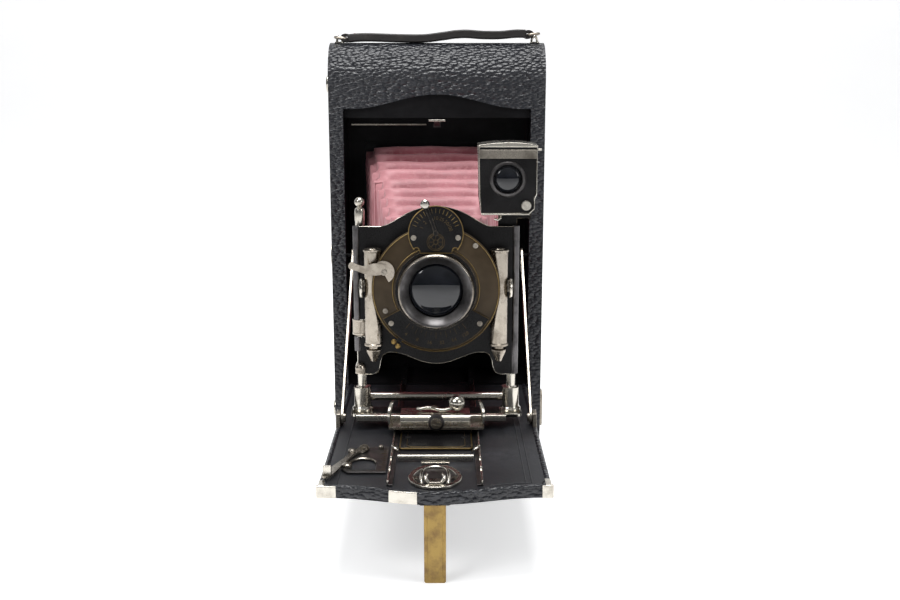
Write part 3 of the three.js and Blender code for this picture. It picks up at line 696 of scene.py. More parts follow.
def board_outline():
    foot = bezier([(0, -40.6), (9, -40.6), (15, -35), (22, -34.6),
                   (26.5, -34.3), (28, -36.2), (28.7, -40)])
    toe = bezier([(28.7, -40), (29, -43.6), (30, -46.3), (33.5, -46.3)])[1:]
    side = [(BOARD_HALF, -46.3), (BOARD_HALF, 30.2), (27.5, 30.2)]
    crown = bezier([(27.5, 30.2), (20, 31.4), (16, 39.4), (0, 40.6)])[1:]
    points = mirrored(foot + toe + side + crown)
    corner = points.index((-BOARD_HALF, 30.2)) + 1
    low, high = NUT_ROOM
    points[corner:corner] = [(-BOARD_HALF, high), (NUT_EDGE, high), (NUT_EDGE, low), (-BOARD_HALF, low)]
    return [(LENS_X + x, LENS_Z + z) for x, z in points]


def lens_board():
    outline = board_outline()
    hole = circle(LENS_X, LENS_Z, 17)
    plate = slab("xz", outline, BOARD_FACE, BOARD_FACE + BOARD_THICK, [hole])
    piece("lens_board_plate", plate, ENAMEL, "lens_standard", 0.2, replaces="lens_board")
    line = wire(on_front(outline, BOARD_FACE - 0.05), 0.22, closed=True, sides=8)
    piece("board_edge_line", line, NICKEL, "lens_standard")
    rolls = []
    top = 30.4
    for side, low, high in ((-1, -34, NUT_ROOM[0]), (-1, NUT_ROOM[1], top), (1, -46, top)):
        x = LENS_X + side * (BOARD_HALF - 0.2)
        section = [(x + dx, BOARD_FACE + 0.9 + dy) for dx, dy in circle(0, 0, 1.75, 20)]
        rolls.append(slab("xy", section, LENS_Z + low, LENS_Z + high))
    piece("board_side_rolls", joined(*rolls), ROLLED_EDGE, "lens_standard", 0.25)


lens_board()


def knurled(r, low, high, middle, teeth=40, depth=0.22):
    """An upright round nut with straight knurling and plain rims."""
    band = [about(*middle, r if i % 2 else r - depth, 180 * i / teeth) for i in range(teeth * 2)]
    rim = 0.9
    lips = [rod("z", r + 0.12, a, a + rim, middle, 40) for a in (low, high - rim)]
    return joined(slab("xy", band, low + rim, high - rim), *lips)


def rise_nut():
    low, high = span("rise_nut")
    mid = centre("rise_nut")
    nut = knurled(4.5, low.z, high.z, (mid.x, mid.y))
    piece("rise_nut_knurled", nut, AGED_NICKEL, "rise_nut", 0.08, replaces="rise_nut")
    foot_at = (mid.x - 0.4, BOARD_FACE - 2.4)
    foot = knurled(2.5, LENS_Z - 45, LENS_Z - 42, foot_at, 22, 0.18)
    dome = turned("z", [(2.5, -42), (2.1, -40.9), (1.2, -40.3), (0, -40.1),
                        (0, -42), (2.5, -42)], foot_at, 28, LENS_Z)
    piece("rise_screw_foot", joined(foot, dome), AGED_NICKEL, "lens_standard", 0.05)


rise_nut()


# ---- Posts, with turned feet ---------------------------------------------------------------------
def post(side, node, word):
    mid = centre(node)
    foot = span(node)[0].z
    base = [(0, foot), (5.2, foot), (5.4, foot + 1.2), (4.5, foot + 2.2), (4.2, foot + 3.4), (4.2, foot + 9)]
    collar = [(3.3, foot + 9.8), (3.3, foot + 12.6), (2.35, foot + 13.2)]
    if side < 0:
        shaft = [(2.35, 72.4), (3.3, 72.6), (3.4, 75.6), (2.9, 77.2), (2.3, 78.2), (2.3, 151), (2.5, 151.4),
                 (2.5, 156), (2.2, 157.2), (1.15, 157.9), (1.05, 158.3)]
        ball = arc(0, 160.5, 2.45, -62, 81, 13)
        profile = base + collar + shaft + ball + [(0, 162.95)]
    else:
        profile = base + collar + [(2.35, 130.4), (0, 130.8)]
    piece(f"post_{word}_turned", turned("z", profile, (mid.x, mid.y), 40), NICKEL, "carriage", 0.12,
          replaces=node)
    section = moved(rounded(-4.3, 4.3, -4.3, 4.3, 3.5, 8), mid.x, mid.y)
    barrel = slab("xy", section, foot + 0.6, foot + 12.6)
    piece(f"post_{word}_barrel", barrel, NICKEL, "carriage", 0.6)


post(-1, "post_left", "left")
post(1, "post_right", "right")


# ---- Shutter -----------------------------------------------------------------------------------
SHUTTER_FACE = span("shutter_case")[0].y
LENS_AT = (LENS_X, LENS_Z)
DIAL_AT = (LENS_X, LENS_Z + 28.5)


def polar(r, angle):
    return about(LENS_X, LENS_Z, r, angle)


def shutter_case():
    y = SHUTTER_FACE
    profile = [(17.9, -73.4), (17.9, y + 0.6), (18.6, y), (30.9, y), (32, y + 0.5), (32, y + 1.3), (31.4, y + 1.9),
               (27.2, y + 2.2), (26.4, y + 3), (26.4, -73.4), (17.9, -73.4)]
    piece("shutter_face", turned("y", profile, LENS_AT, 96), PATINA, "lens_standard", 0.12,
          replaces="shutter_case", slot="bronze")
    lines = [wire(on_front(circle(*LENS_AT, 31.3, 90), y - 0.08), 0.26, True, 8, 0.8),
             wire(on_front(arc(*LENS_AT, 21.6, -30, 208, 90), y - 0.08), 0.26, False, 8, 0.8)]
    piece("shutter_brass_lines", joined(*lines), BRASS_LINE, "lens_standard")


def aperture_plate():
    """The dark sector below the lens that carries the aperture scale."""
    y = SHUTTER_FACE
    start, end = 209, 331
    edge = arc(*LENS_AT, 30.2, start, end, 40) + arc(*LENS_AT, 19.4, end, start, 40)
    piece("aperture_scale_plate", slab("xz", edge, y - 0.9, y - 0.55), ENAMEL, "lens_standard", 0.1)
    marks = [wire(on_front(edge, y - 0.9), 0.2, True, 6)]
    for k in range(13):
        ends = [polar(r, 232 + k * 6.3) for r in (21.4, 22.9 if k % 2 else 24.6)]
        marks.append(wire(on_front(ends, y - 0.92), 0.11, False, 6))
    piece("aperture_scale_lines", joined(*marks), ENGRAVING, "lens_standard")
    numbers = []
    for k, text in enumerate(("4", "8", "16", "32", "64", "128")):
        angle = 236 + k * 13.4
        numbers.append((text, *polar(26.9, angle), 270 - angle))
    lettering("aperture_numbers", numbers, 2.6, y - 0.93)


def speed_dial():
    y = SHUTTER_FACE
    cx, cz = DIAL_AT
    head = arc(cx, cz, 13.4, -38, 218, 56)
    left = bezier([head[-1], (cx - 12.2, LENS_Z + 20.6), (cx - 7.6, LENS_Z + 23.4), (cx - 7.9, LENS_Z + 18.6)])
    right = [(2 * cx - x, z) for x, z in reversed(left)]
    outline = head + left[1:] + right[:-1]
    piece("speed_dial_plate", slab("xz", outline, y - 1.15, y - 0.15), ENAMEL, "lens_standard", 0.15,
          replaces="speed_dial", slot="bronze")
    rim = [wire(on_front(outline, y - 1.15), 0.24, True, 8)]
    for k in range(15):
        ends = [about(cx, cz, r, 20 + 10 * k) for r in (9.9, 12.2)]
        rim.append(wire(on_front(ends, y - 1.17), 0.1, False, 6))
    piece("speed_dial_lines", joined(*rim), BRASS_LINE, "lens_standard")
    numbers = []
    for k, text in enumerate(("1", "2", "5", "10", "25", "50", "100")):
        angle = 158 - k * 22.7
        numbers.append((text, *about(cx, cz, 7.4, angle), 90 - angle))
    lettering("speed_numbers", numbers, 2.5, y - 1.18)
    middle = cz - 4.4
    rosette = [wire(on_front(circle(cx, middle, r), y - 1.17), 0.16, True, 6) for r in (4.3, 3.5, 1.1)]
    for k in range(8):
        petal = [about(cx, middle, r, 45 * k) for r in (1.2, 3.4)]
        rosette.append(wire(on_front(petal, y - 1.17), 0.12, False, 6))
    piece("dial_rosette", joined(*rosette), ENGRAVING, "lens_standard")


def speed_pointer():
    """A dark blade over the dial, with a bright knob at its tip."""
    y = SHUTTER_FACE
    cx, cz = DIAL_AT
    tip = (cx - 5.2, cz + 14.4)
    arm = bezier([(cx - 0.8, cz - 1.2), (cx - 1.5, cz + 4), (cx - 4.4, cz + 9), (tip[0] - 0.9, tip[1])])
    back = bezier([(tip[0] + 0.9, tip[1]), (cx - 2.4, cz + 9), (cx + 0.3, cz + 4), (cx + 0.8, cz - 1.2)])
    hub = rod("y", 1.3, y - 2.1, y - 1.4, DIAL_AT, 28)
    piece("speed_pointer_arm", joined(slab("xz", arm + back, y - 2.0, y - 1.55), hub), ENAMEL, "speed_pointer",
          0.12, replaces="speed_pointer", slot="nickel")
    profile = [(0, -1.5), (1.3, -1.5), (1.3, -2.6), (2.1, -3), (2.3, -3.9), (1.7, -4.7), (0, -4.9)]
    piece("speed_pointer_knob", turned("y", profile, tip, 28, y), NICKEL, "speed_pointer", 0.1)


def aperture_lever():
    """A dark ring round the lens whose thin arm runs under the scale to two brass pins."""
    y = SHUTTER_FACE
    section = [(18.9, -0.35), (20.3, -0.35), (20.3, -1.1), (18.9, -1.1), (18.9, -0.35)]
    ring = turned("y", section, LENS_AT, 80, y)
    inner = [polar(19.4, a) for a in (229, 233, 237)]
    outer = [polar(33.4, a) for a in (236.5, 234.5, 232.5)]
    arm = slab("xz", inner + outer, y - 0.52, y - 0.32)
    piece("aperture_lever_ring", joined(ring, arm), ENAMEL, "aperture_lever", 0.08,
          replaces="aperture_lever", slot="brass")
    pins = []
    for r, angle in ((34.2, 236), (33.6, 231)):
        x, z = polar(r, angle)
        pins.append(turned("y", [(0, -0.3), (1.2, -0.3), (1.35, -1.9), (0.9, -2.6), (0, -2.7)], (x, z), 20, y))
    piece("aperture_lever_pins", joined(*pins), BRASS, "aperture_lever")


def lens_front():
    y = span("lens_barrel")[0].y
    profile = [(15.2, 10), (15.2, 3.4), (15.6, 2.4), (16.7, 0.9), (17.0, 0.25), (17.5, 0),
               (18.2, 0.1), (18.5, 0.7), (18.5, 6.1), (15.2, 10)]
    piece("lens_rim", turned("y", profile, LENS_AT, 96, y), GUNMETAL, "lens_standard", 0.06,
          replaces="lens_barrel", slot="black_enamel")
    lip = [(17.9, -0.05), (18.45, 0.35), (18.7, 0.9), (18.45, 0.9), (17.9, 0.3), (17.9, -0.05)]
    piece("lens_rim_lip", turned("y", lip, LENS_AT, 96, y), AGED_NICKEL, "lens_standard")
    cone = [(16.9, 0.5), (13.6, 3.3), (13.4, 3.9), (15.0, 4.2), (16.9, 0.5)]
    piece("lens_inner_ring", turned("y", cone, LENS_AT, 96, y), GUNMETAL, "lens_standard", slot="black_enamel")
    bowl = moved(scaled(arc(0, 0, 1, -90, -30, 10), 14.9, 5.2), 0, y + 2.6 + 5.2)
    shell = [(0, y + 6.4), (13.6, y + 6.4), *reversed(bowl)]
    shell[-1] = (0, shell[-1][1])
    piece("front_glass", turned("y", shell, LENS_AT, 96), GLASS, "lens_standard", sharp=60,
          replaces="front_lens")
    keep("iris_diaphragm", GUNMETAL, 0.1)
    keep("rear_lens_cell", ENAMEL, 0.3)


def air_cylinders():
    for side, word in SIDES:
        mid = centre(f"air_cylinder_{word}")
        profile = [(0, -38), (1.5, -38), (1.8, -37.4), (3.7, -32.7), (3.8, -31.8), (2.4, -31.2),
                   (2.4, -30.2), (4.2, -29.9), (4.75, -29.6), (4.75, -28.7), (4.25, -28.3),
                   (4.25, 18.2), (4.75, 18.5), (4.75, 19.3), (4.2, 19.6), (2.6, 19.6),
                   (2.4, 20.0), (0, 20.1)]
        cylinder = turned("z", profile, (mid.x, mid.y), 48, LENS_Z)
        piece(f"air_cylinder_{word}_turned", cylinder, AGED_NICKEL, "lens_standard", 0.08,
              replaces=f"air_cylinder_{word}")
        x = mid.x + side * 5.0
        section = [(0, 0), (4.9, 0), (5.2, side * 0.4), (4.7, side * 1.3), (0, side * 1.9)]
        disc = turned("x", section, (mid.y - 0.6, LENS_Z), 36, x)
        piece(f"cylinder_nut_{word}", disc, NICKEL, "lens_standard", 0.08)
        clip = block(*sorted((x, mid.x + side * 1.5)), mid.y + 4.4, mid.y + 5.2, LENS_Z - 3, LENS_Z + 3)
        piece(f"cylinder_clip_{word}", clip, OLD_NICKEL, "lens_standard", 0.2)


def release_lever():
    y = SHUTTER_FACE
    cx, cz = -26, LENS_Z + 9.3
    disc_edge = arc(cx, cz, 5.6, -62, 118, 30)
    notch = moved([(-2.7, 4.6), (-2.6, 0.2), (-0.4, 0.9), (2.6, -4.9)], cx, cz)
    disc = slab("xz", disc_edge + notch, y - 2.1, y - 1.5)
    top = [(1.5, 3.6), (-2, 5), (-5, 4.6), (-8, 3.4), (-10, 2.7), (-12.6, 3.9), (-14.8, 5.0)]
    tip = arc(cx - 15.2, cz + 3.2, 1.85, 78, 258, 10)
    low = [(-15.4, 1.4), (-11, 0.4), (-9.4, -1.2), (-6, -1.5), (-3, -1.8), (-1, -1.4), (1, -0.4)]
    edge = bezier(moved(top, cx, cz)) + tip + bezier(moved(low, cx, cz))[1:]
    arm = slab("xz", edge, y - 2.7, y - 2.15)
    piece("release_lever_plate", joined(disc, arm), AGED_NICKEL, "release_lever", 0.12, replaces="release_lever")
    screw("release_screw", "-y", (cx + 0.4, y - 2.7, cz), 1.5, OLD_NICKEL, "release_lever")


shutter_case()
aperture_plate()
speed_dial()
speed_pointer()
aperture_lever()
lens_front()
air_cylinders()
release_lever()
SCREWS = ((-10.9, 26.3, 1.15), (10.9, 26.3, 1.15), (19.5, 22.2, 0), (-22.4, -16.8, 0.5), (21.8, -17, 0.5),
          (-25.2, -10.6, 0))
for n, (x, z, proud) in enumerate(SCREWS):
    where = (LENS_X + x, SHUTTER_FACE - proud, LENS_Z + z)
    screw(f"shutter_screw_{n}", "-y", where, 1.35, OLD_NICKEL, "lens_standard", slant=25 + 50 * n)


# ---- Finder ------------------------------------------------------------------------------------
def finder():
    low, high = span("finder_body")
    x0, x1, z0, z1, y0, y1 = low.x, high.x, low.z, high.z, low.y, high.y
    shape = [(x0 + 1.2, z0), (x1 - 3.6, z0), (x1 - 1.2, z0 + 2.2), (x1 - 1.0, z0 + 7.5), (x1 - 0.2, z0 + 9.2),
             (x1, z1), (x0, z1), (x0 + 0.7, z0 + 6)]
    lens = span("finder_lens")
    cx, cz = (lens[0].x + lens[1].x) / 2, (lens[0].z + lens[1].z) / 2
    box_solid = slab("xz", shape, y0 + 0.5, y1, [circle(cx, cz, 6.9, 40)])
    piece("finder_box", box_solid, ENAMEL, "finder", 0.35, replaces="finder_body")
    piece("finder_face_edge", wire(on_front(shape, y0 + 0.45), 0.34, True, 8), NICKEL, "finder")
    piece("finder_rear_edge", wire(on_front(shape, y1), 0.3, True, 8), NICKEL, "finder")
    bezel = [(6.7, 5), (6.7, 0.9), (7.2, -0.3), (8.1, -0.2), (8.8, 0.55), (8.8, 0.9), (6.7, 5)]
    piece("finder_bezel", turned("y", bezel, (cx, cz), 64, y0), GUNMETAL, "finder", 0.05, slot="black_enamel")
    dome = moved(scaled(arc(0, 0, 1, 0, -90, 10), 6.9, 2.6), 0, y0 + 0.3 + 2.6)
    dome[-1] = (0, dome[-1][1])
    glass = turned("y", [(0, y0 + 3.6), (6.85, y0 + 3.4)] + dome, (cx, cz), 56)
    piece("finder_glass", glass, GLASS, "finder", sharp=60, replaces="finder_lens")
    band = block(x0 + 0.3, x1 - 0.3, y0 - 0.25, y0 + 0.45, z1 - 5.6, z1 - 1.4)
    piece("finder_band", band, OLD_NICKEL, "finder", 0.15)
    foot = block(x0 + 1.4, x1 - 3.4, y0 - 0.2, y1, z0 - 0.75, z0 - 0.1)
    piece("finder_ledge", foot, NICKEL, "finder", 0.15)
    crown = [(x0 - 0.3, z1 + 0.1), (x1 + 0.3, z1 + 0.1), (x1 + 0.3, z1 + 0.7)]
    crown += bezier([(x1 + 0.3, z1 + 0.7), (x1 - 6, z1 + 2.3), (x0 + 10, z1 + 2.7), (x0 - 0.3, z1 + 0.7)])[1:]
    piece("finder_cover", slab("xz", crown, y0 + 0.1, y1 + 0.2), NICKEL, "finder", 0.2,
          replaces="finder_hood")
    nub = block(x1 + 0.1, x1 + 2.0, y0 + 0.2, y0 + 3.6, z1 - 1.9, z1 - 0.9)
    piece("finder_cover_tab", nub, NICKEL, "finder", 0.25)
    keep("finder_bracket", ENAMEL, 0.25)
    pivot = (43.7, y0 - 1.6, 161.2)
    screw("finder_pivot_head", "-y", pivot, 2.3, NICKEL, "lens_standard", slant=60, thick=0.4)
    hook = [(31.5, y0 + 6, z0 - 1), (31.6, y0 + 4, z0 - 2.6), (30.2, y0 + 3.4, z0 - 3.6),
            (28.6, y0 + 3.4, z0 - 3.0)]
    piece("finder_catch", wire(hook, 0.55, False, 10), NICKEL, "finder")


finder()


# ---- Carriage ----------------------------------------------------------------------------------
keep("carriage_sole", ENAMEL, 0.25)
keep("standard_base", ENAMEL, 0.3)
BED_TOP = span("bed_board")[1].z - 7.6
CLAMP = span("focus_clamp")[0]
CROSS = centre("front_cross_tube")


def cross_tubes():
    low, high = span("front_cross_tube")
    z = CROSS.z - 1.0
    right = high.x - 3.0
    bar = slab("yz", rounded(CROSS.y - 2.1, CROSS.y + 2.1, z - 1.7, z + 1.7, 0.8), low.x, right)
    socket = slab("yz", rounded(CROSS.y - 1.4, CROSS.y + 1.4, z - 1.0, z + 1.0, 0.4), right - 2, right + 0.02)
    piece("front_tube_bar", bar, NICKEL, "carriage", 0.2, replaces="front_cross_tube")
    piece("front_tube_end", socket, GUNMETAL, "carriage")
    rear = span("rear_cross_tube")
    mid = centre("rear_cross_tube")
    piece("rear_tube_bar", rod("x", 2.25, rear[0].x, rear[1].x, (mid.y, mid.z), 40), NICKEL, "carriage", 0.2,
          replaces="rear_cross_tube")


def focus_housing():
    """Half-round cover of the rack pinion, with its screw and the two crescent finger grips."""
    y0, z0 = CLAMP.y, CLAMP.z
    depth, tall, nose_r = 12.5, 6.1, 3.4
    nose = arc(y0 + nose_r, z0 + tall - nose_r, nose_r, 178, 92, 10)
    profile = [(y0, z0 - 0.8), *nose, (y0 + depth, z0 + tall), (y0 + depth, z0 - 0.8)]
    piece("focus_housing", slab("yz", profile, -18, 17), NICKEL, "carriage", 0.35,
          replaces="focus_clamp")
    foot = slab("xy", rounded(-24, 24, y0 - 0.4, y0 + depth, 1.2), z0 - 1.2, z0 + 0.2)
    piece("focus_housing_foot", foot, OLD_NICKEL, "carriage", 0.25)
    face_z = z0 + 2.4
    boss = turned("y", [(0, -1.3), (3.0, -1.2), (4.1, -0.7), (4.2, 2.5), (0, 2.5)], (0, face_z), 36, y0)
    piece("focus_screw_boss", boss, GUNMETAL, "carriage", 0.12)
    screw("focus_screw", "-y", (0, y0 - 1.2, face_z), 2.9, OLD_NICKEL, "carriage", slant=10, thick=0.35)
    middle = (y0 + 7.0, z0 + 5.5)
    for side, word in SIDES:
        x = side * 22.9
        outer = arc(*middle, 7.3, 105, 255, 26)
        inner = arc(middle[0] + 2.6, middle[1], 8.2, 239, 121, 26)
        blade = slab("yz", outer + inner, x - 0.7, x + 0.7)
        turn(blade, side * 24, (x, middle[0] - 5, 0), "Z")
        piece(f"finger_grip_{word}", blade, NICKEL, "carriage", 0.35)


def lock_lever():
    low, high = span("focus_lock_lever")
    y = (low.y + high.y) / 2
    z = low.z + 0.9
    path = []
    for i in range(25):
        t = i / 24
        x = -8.6 + 16.5 * t
        path.append((x, y + 0.7 * math.sin(2.2 * math.pi * t), z + 0.55 * math.sin(2 * math.pi * t) + 0.5 * t))
    arm = wire(path, 1.25, False, 14, 0.75)
    curl = wire([(-8.6, y, z), (-9.4, y - 0.9, z + 0.5), (-9.0, y - 1.9, z + 1.1)], 0.9, False, 12, 0.7)
    knob_at = (10.4, y)
    stem = rod("z", 1.6, z - 0.5, z + 1.4, knob_at, 24)
    ball = [(0, z - 0.6)]
    for k in range(15):
        a = math.radians(-84 + k * 170 / 14)
        ball.append((4.1 * math.cos(a), z + 3.4 + 4.0 * math.sin(a)))
    ball.append((0, z + 7.5))
    body = turned("z", ball, knob_at, 48)
    for v in body.verts:
        dx, dy = v.co.x - knob_at[0], v.co.y - knob_at[1]
        r = math.hypot(dx, dy)
        if r > 2.6:
            pull = 1 - 0.085 * (0.5 + 0.5 * math.cos(16 * math.atan2(dy, dx)))
            v.co.x, v.co.y = knob_at[0] + dx * pull, knob_at[1] + dy * pull
    piece("lock_lever_arm", joined(arm, curl, stem, body), NICKEL, "focus_lock_lever", sharp=45,
          replaces="focus_lock_lever")
    screw("lock_lever_screw", "z", (-1.2, y, z + 0.9), 1.6, OLD_NICKEL, "focus_lock_lever", thick=0.4)


def standard_feet():
    """Nickel side cheeks that join the carriage to its posts."""
    base = span("standard_base")[1].z
    for side, word in SIDES:
        x = side * 38.5
        mid = centre(f"post_{word}")
        skirt = slab("xy", rounded(x - 5.6, x + 5.6, mid.y - 8.6, mid.y + 5.4, 2.4), base - 1.2, base + 0.3)
        piece(f"post_{word}_flange", skirt, NICKEL, "carriage", 0.3)


cross_tubes()
focus_housing()
lock_lever()
standard_feet()


# ---- Bed ---------------------------------------------------------------------------------------
BED = span("bed_board")
CORNER_Y = -159.5
ARCH = 48.0


def reach(x):
    """How far the bed's front edge runs beyond its corners."""
    depth = CORNER_Y - BED[0].y
    return depth * (1 + math.cos(math.pi * x / ARCH)) / 2 if abs(x) < ARCH else 0.0


def bed_outline(inset, front_inset=None):
    front = inset if front_inset is None else front_inset
    half = BED[1].x - inset
    points = [(-half, -0.6)]
    steps = 40
    for i in range(steps + 1):
        x = -half + 2 * half * i / steps
        points.append((x, CORNER_Y - reach(x) + front))
    points.append((half, -0.6))
    return points


def front_line(x0, x1, back, steps=10):
    """Points along the bed's front edge between two distances from its middle, set back by a little."""
    across = [x0 + (x1 - x0) * i / steps for i in range(steps + 1)]
    return [(x, CORNER_Y - reach(x) + back) for x in across]


def bed_panel():
    low, top = BED_TOP - 5.4, BED_TOP
    board = slab("xy", bed_outline(0.5, 0.6), low + 0.2, top - 0.5)
    knuckles = []
    hinge = centre("bed_hinge_rod")
    for x0, x1 in ((-48, -38), (38, 48)):
        section = [(1.1, x0), (1.9, x0), (1.9, x1), (1.1, x1), (1.1, x0)]
        knuckles.append(turned("x", section, (hinge.y, hinge.z), 24))
        knuckles.append(block(x0, x1, -1.4, 0.2, hinge.z - 1.5, hinge.z + 1.9))
    piece("bed_covered_board", board, LEATHER, "bed", 0.9, replaces="bed_board")
    piece("bed_knuckles", joined(*knuckles), OLD_NICKEL, "bed", 0.15)
    liner = slab("xy", bed_outline(2.4, 2.8), top - 0.9, top)
    piece("bed_liner", liner, BED_LEATHER, "bed", 0.25)
    line = bed_outline(1.5, 1.7)[1:-1]
    along = [-1.2] + [-6 - 8 * k for k in range(19)]
    path = [(line[0][0], y) for y in along] + line[1:-1] + [(line[-1][0], y) for y in reversed(along)]
    piece("bed_leather_rim", wire(on_top(path, top - 0.35), 1.35, False, 16, 0.8), LEATHER, "bed")
    lines = [[(x, y) for y in (-8, -40, -75, -110, CORNER_Y + 5)] for x in (-43.5, 40.5, 43.2)]
    lines.append(front_line(25, 43.2, 5.6))
    ridges = [wire(on_top(points, top + 0.02), 0.24, False, 8) for points in lines]
    piece("liner_tooling", joined(*ridges), BED_LEATHER, "bed")


def worn_edges():
    low, top = BED_TOP - 5.3, BED_TOP
    for name, x0, x1 in (("left", -52.5, -43.6), ("middle", -20.3, -7.6), ("right", 47.4, 52.5)):
        front = front_line(x0, x1, 0.25)
        rear = list(reversed(front_line(x0, x1, 2.9)))
        strip = slab("xy", front + rear, low, top + 0.45)
        piece(f"bed_edge_{name}", strip, NICKEL, "bed", 0.45)
    for side, word, depth in ((-1, "left", 7.5), (1, "right", 9.0)):
        a, b = sorted((side * 48.9, side * 51.75))
        clip = block(a, b, CORNER_Y + 0.6, CORNER_Y + depth, low + 0.2, top + 0.75)
        piece(f"bed_corner_{word}", clip, NICKEL, "bed", 0.45)


def track_rails():
    """Two channels: a low dark floor with a bright wall on its outer side, notched near the front."""
    for side, word in SIDES:
        low, high = span(f"track_rail_{word}")
        mid = (low.x + high.x) / 2
        wall_x = mid + side * 0.9
        floor = block(mid - 1.4, mid + 1.4, low.y, high.y, low.z - 0.1, low.z + 0.7)
        piece(f"track_floor_{word}", floor, GUNMETAL, "bed", 0.15, replaces=f"track_rail_{word}")
        notched = high.z - 1.1
        edge = [(high.y, high.z), (-128, high.z), (-128.6, notched), (-133, notched), (-133.6, high.z),
                (-141, high.z), (-141.6, notched), (-147, notched), (-147.6, high.z), (low.y, high.z),
                (low.y, low.z), (high.y, low.z)]
        piece(f"track_wall_{word}", slab("yz", edge, wall_x - 0.4, wall_x + 0.4), NICKEL, "bed", 0.12)


def maker_plate():
    """The plate between the rails, left blank."""
    low, high = span("name_plate")
    z = high.z
    plate = slab("xy", rounded(low.x, high.x, low.y, high.y, 1.6), low.z, z)
    piece("plate_blank", plate, ENAMEL, "bed", 0.2, replaces="name_plate")
    rim = rounded(low.x + 0.3, high.x - 0.3, low.y + 0.3, high.y - 0.3, 1.5)
    piece("plate_rim", wire(on_top(rim, z), 0.4, True, 8), BRASS_LINE, "bed")
    inner = rounded(low.x + 3.6, high.x - 3.6, low.y + 3, high.y - 3, 3)
    piece("plate_line", wire(on_top(inner, z + 0.02), 0.13, True, 6), BRASS_LINE, "bed")
    for side, word in SIDES:
        spot = (side * 13.9, (low.y + high.y) / 2, z)
        screw(f"plate_screw_{word}", "z", spot, 1.5, GUNMETAL, "bed", slant=40 * side, thick=0.4)


def track_stop():
    low, high = span("track_stop_bar")
    mid = centre("track_stop_bar")
    bar = rod("x", 1.25, low.x, high.x, (mid.y, mid.z + 0.5), 28)
    piece("stop_bar_rod", bar, NICKEL, "bed", 0.2, replaces="track_stop_bar")
    for n, y in enumerate((mid.y - 2.6, mid.y - 4.7)):
        strip = slab("xy", rounded(-6.5, 6.5, y - 0.75, y + 0.75, 0.5), BED_TOP + 0.3, BED_TOP + 1.2)
        piece(f"spring_strip_{n}", strip, NICKEL, "bed", 0.2)
    for side, word in SIDES:
        hook = [(18.4, -113, 1.2), (20.2, -114.5, 3.4), (20.6, -117.5, 4), (18.6, -119.6, 3), (17.4, -118, 1.2)]
        hook = [(side * x, y, BED_TOP + lift) for x, y, lift in hook]
        piece(f"rail_hook_{word}", wire(smooth(hook), 0.65, False, 12), NICKEL, "bed")


def smooth(points, steps=6):
    """A rounded path through a few points, by Catmull-Rom stretches."""
    knots = [Vector(p) for p in points]
    knots = [knots[0] * 2 - knots[1], *knots, knots[-1] * 2 - knots[-2]]
    path = []
    for a, b, c, d in zip(knots, knots[1:], knots[2:], knots[3:]):
        for k in range(steps):
            t = k / steps
            bend, twist = 2 * a - 5 * b + 4 * c - d, 3 * b - a - 3 * c + d
            path.append(0.5 * (2 * b + (c - a) * t + bend * t * t + twist * t ** 3))
    path.append(knots[-2])
    return path


def door_catch():
    low, high = span("door_catch_plate")
    cy = (low.y + high.y) / 2
    z = BED_TOP + 0.2

    def boat(size):
        right = [(0.55, -1), (1, -0.62), (1, 0), (0.92, 0.5), (0.7, 0.8), (0.45, 1), (0.2, 1.04)]
        left = [(-x, y) for x, y in reversed(right)]
        shape = [(-1, 0), (-1, -0.62), (-0.55, -1), (0, -1), *right, *left[:5]]
        return bezier(moved(scaled(shape, 12.2 * size, 13.4 * size), 0, cy))[:-1]

    rim = slab("xy", boat(1.0), z, z + 1.3, [boat(0.8)])
    piece("catch_rim", rim, NICKEL, "bed", 0.3, replaces="door_catch_plate")
    piece("catch_pan", slab("xy", boat(0.84), z - 0.1, z + 0.5), GUNMETAL, "bed", 0.1, slot="bronze")
    half = [(5.8, cy - 8.5, z + 0.8), (6.2, cy - 4, z + 2.6), (5, cy + 3.5, z + 3.2)]
    bridge = [(-a, b, c) for a, b, c in half] + [(0, cy + 6.2, z + 3.4), *reversed(half)]
    piece("catch_bridge", wire(smooth(bridge), 0.7, False, 12, 0.8), NICKEL, "bed")
    for side, word in SIDES:
        claw = [(side * 2.4, cy - 9, z + 1.0), (side * 4.2, cy - 7.5, z + 3.2), (side * 3.6, cy - 4.2, z + 3.6),
                (side * 4.4, cy - 1, z + 1.2)]
        piece(f"catch_claw_{word}", wire(smooth(claw), 0.75, False, 12), NICKEL, "bed")
        screw(f"catch_screw_{word}", "z", (side * 8.7, cy - 1.5, z + 0.5), 1.4, OLD_NICKEL, "bed", thick=0.5)
    bolt = block(-2.6, 2.6, cy - 10.5, cy - 5.5, z + 0.4, z + 2.4)
    piece("catch_bolt", bolt, OLD_NICKEL, "bed", 0.5)


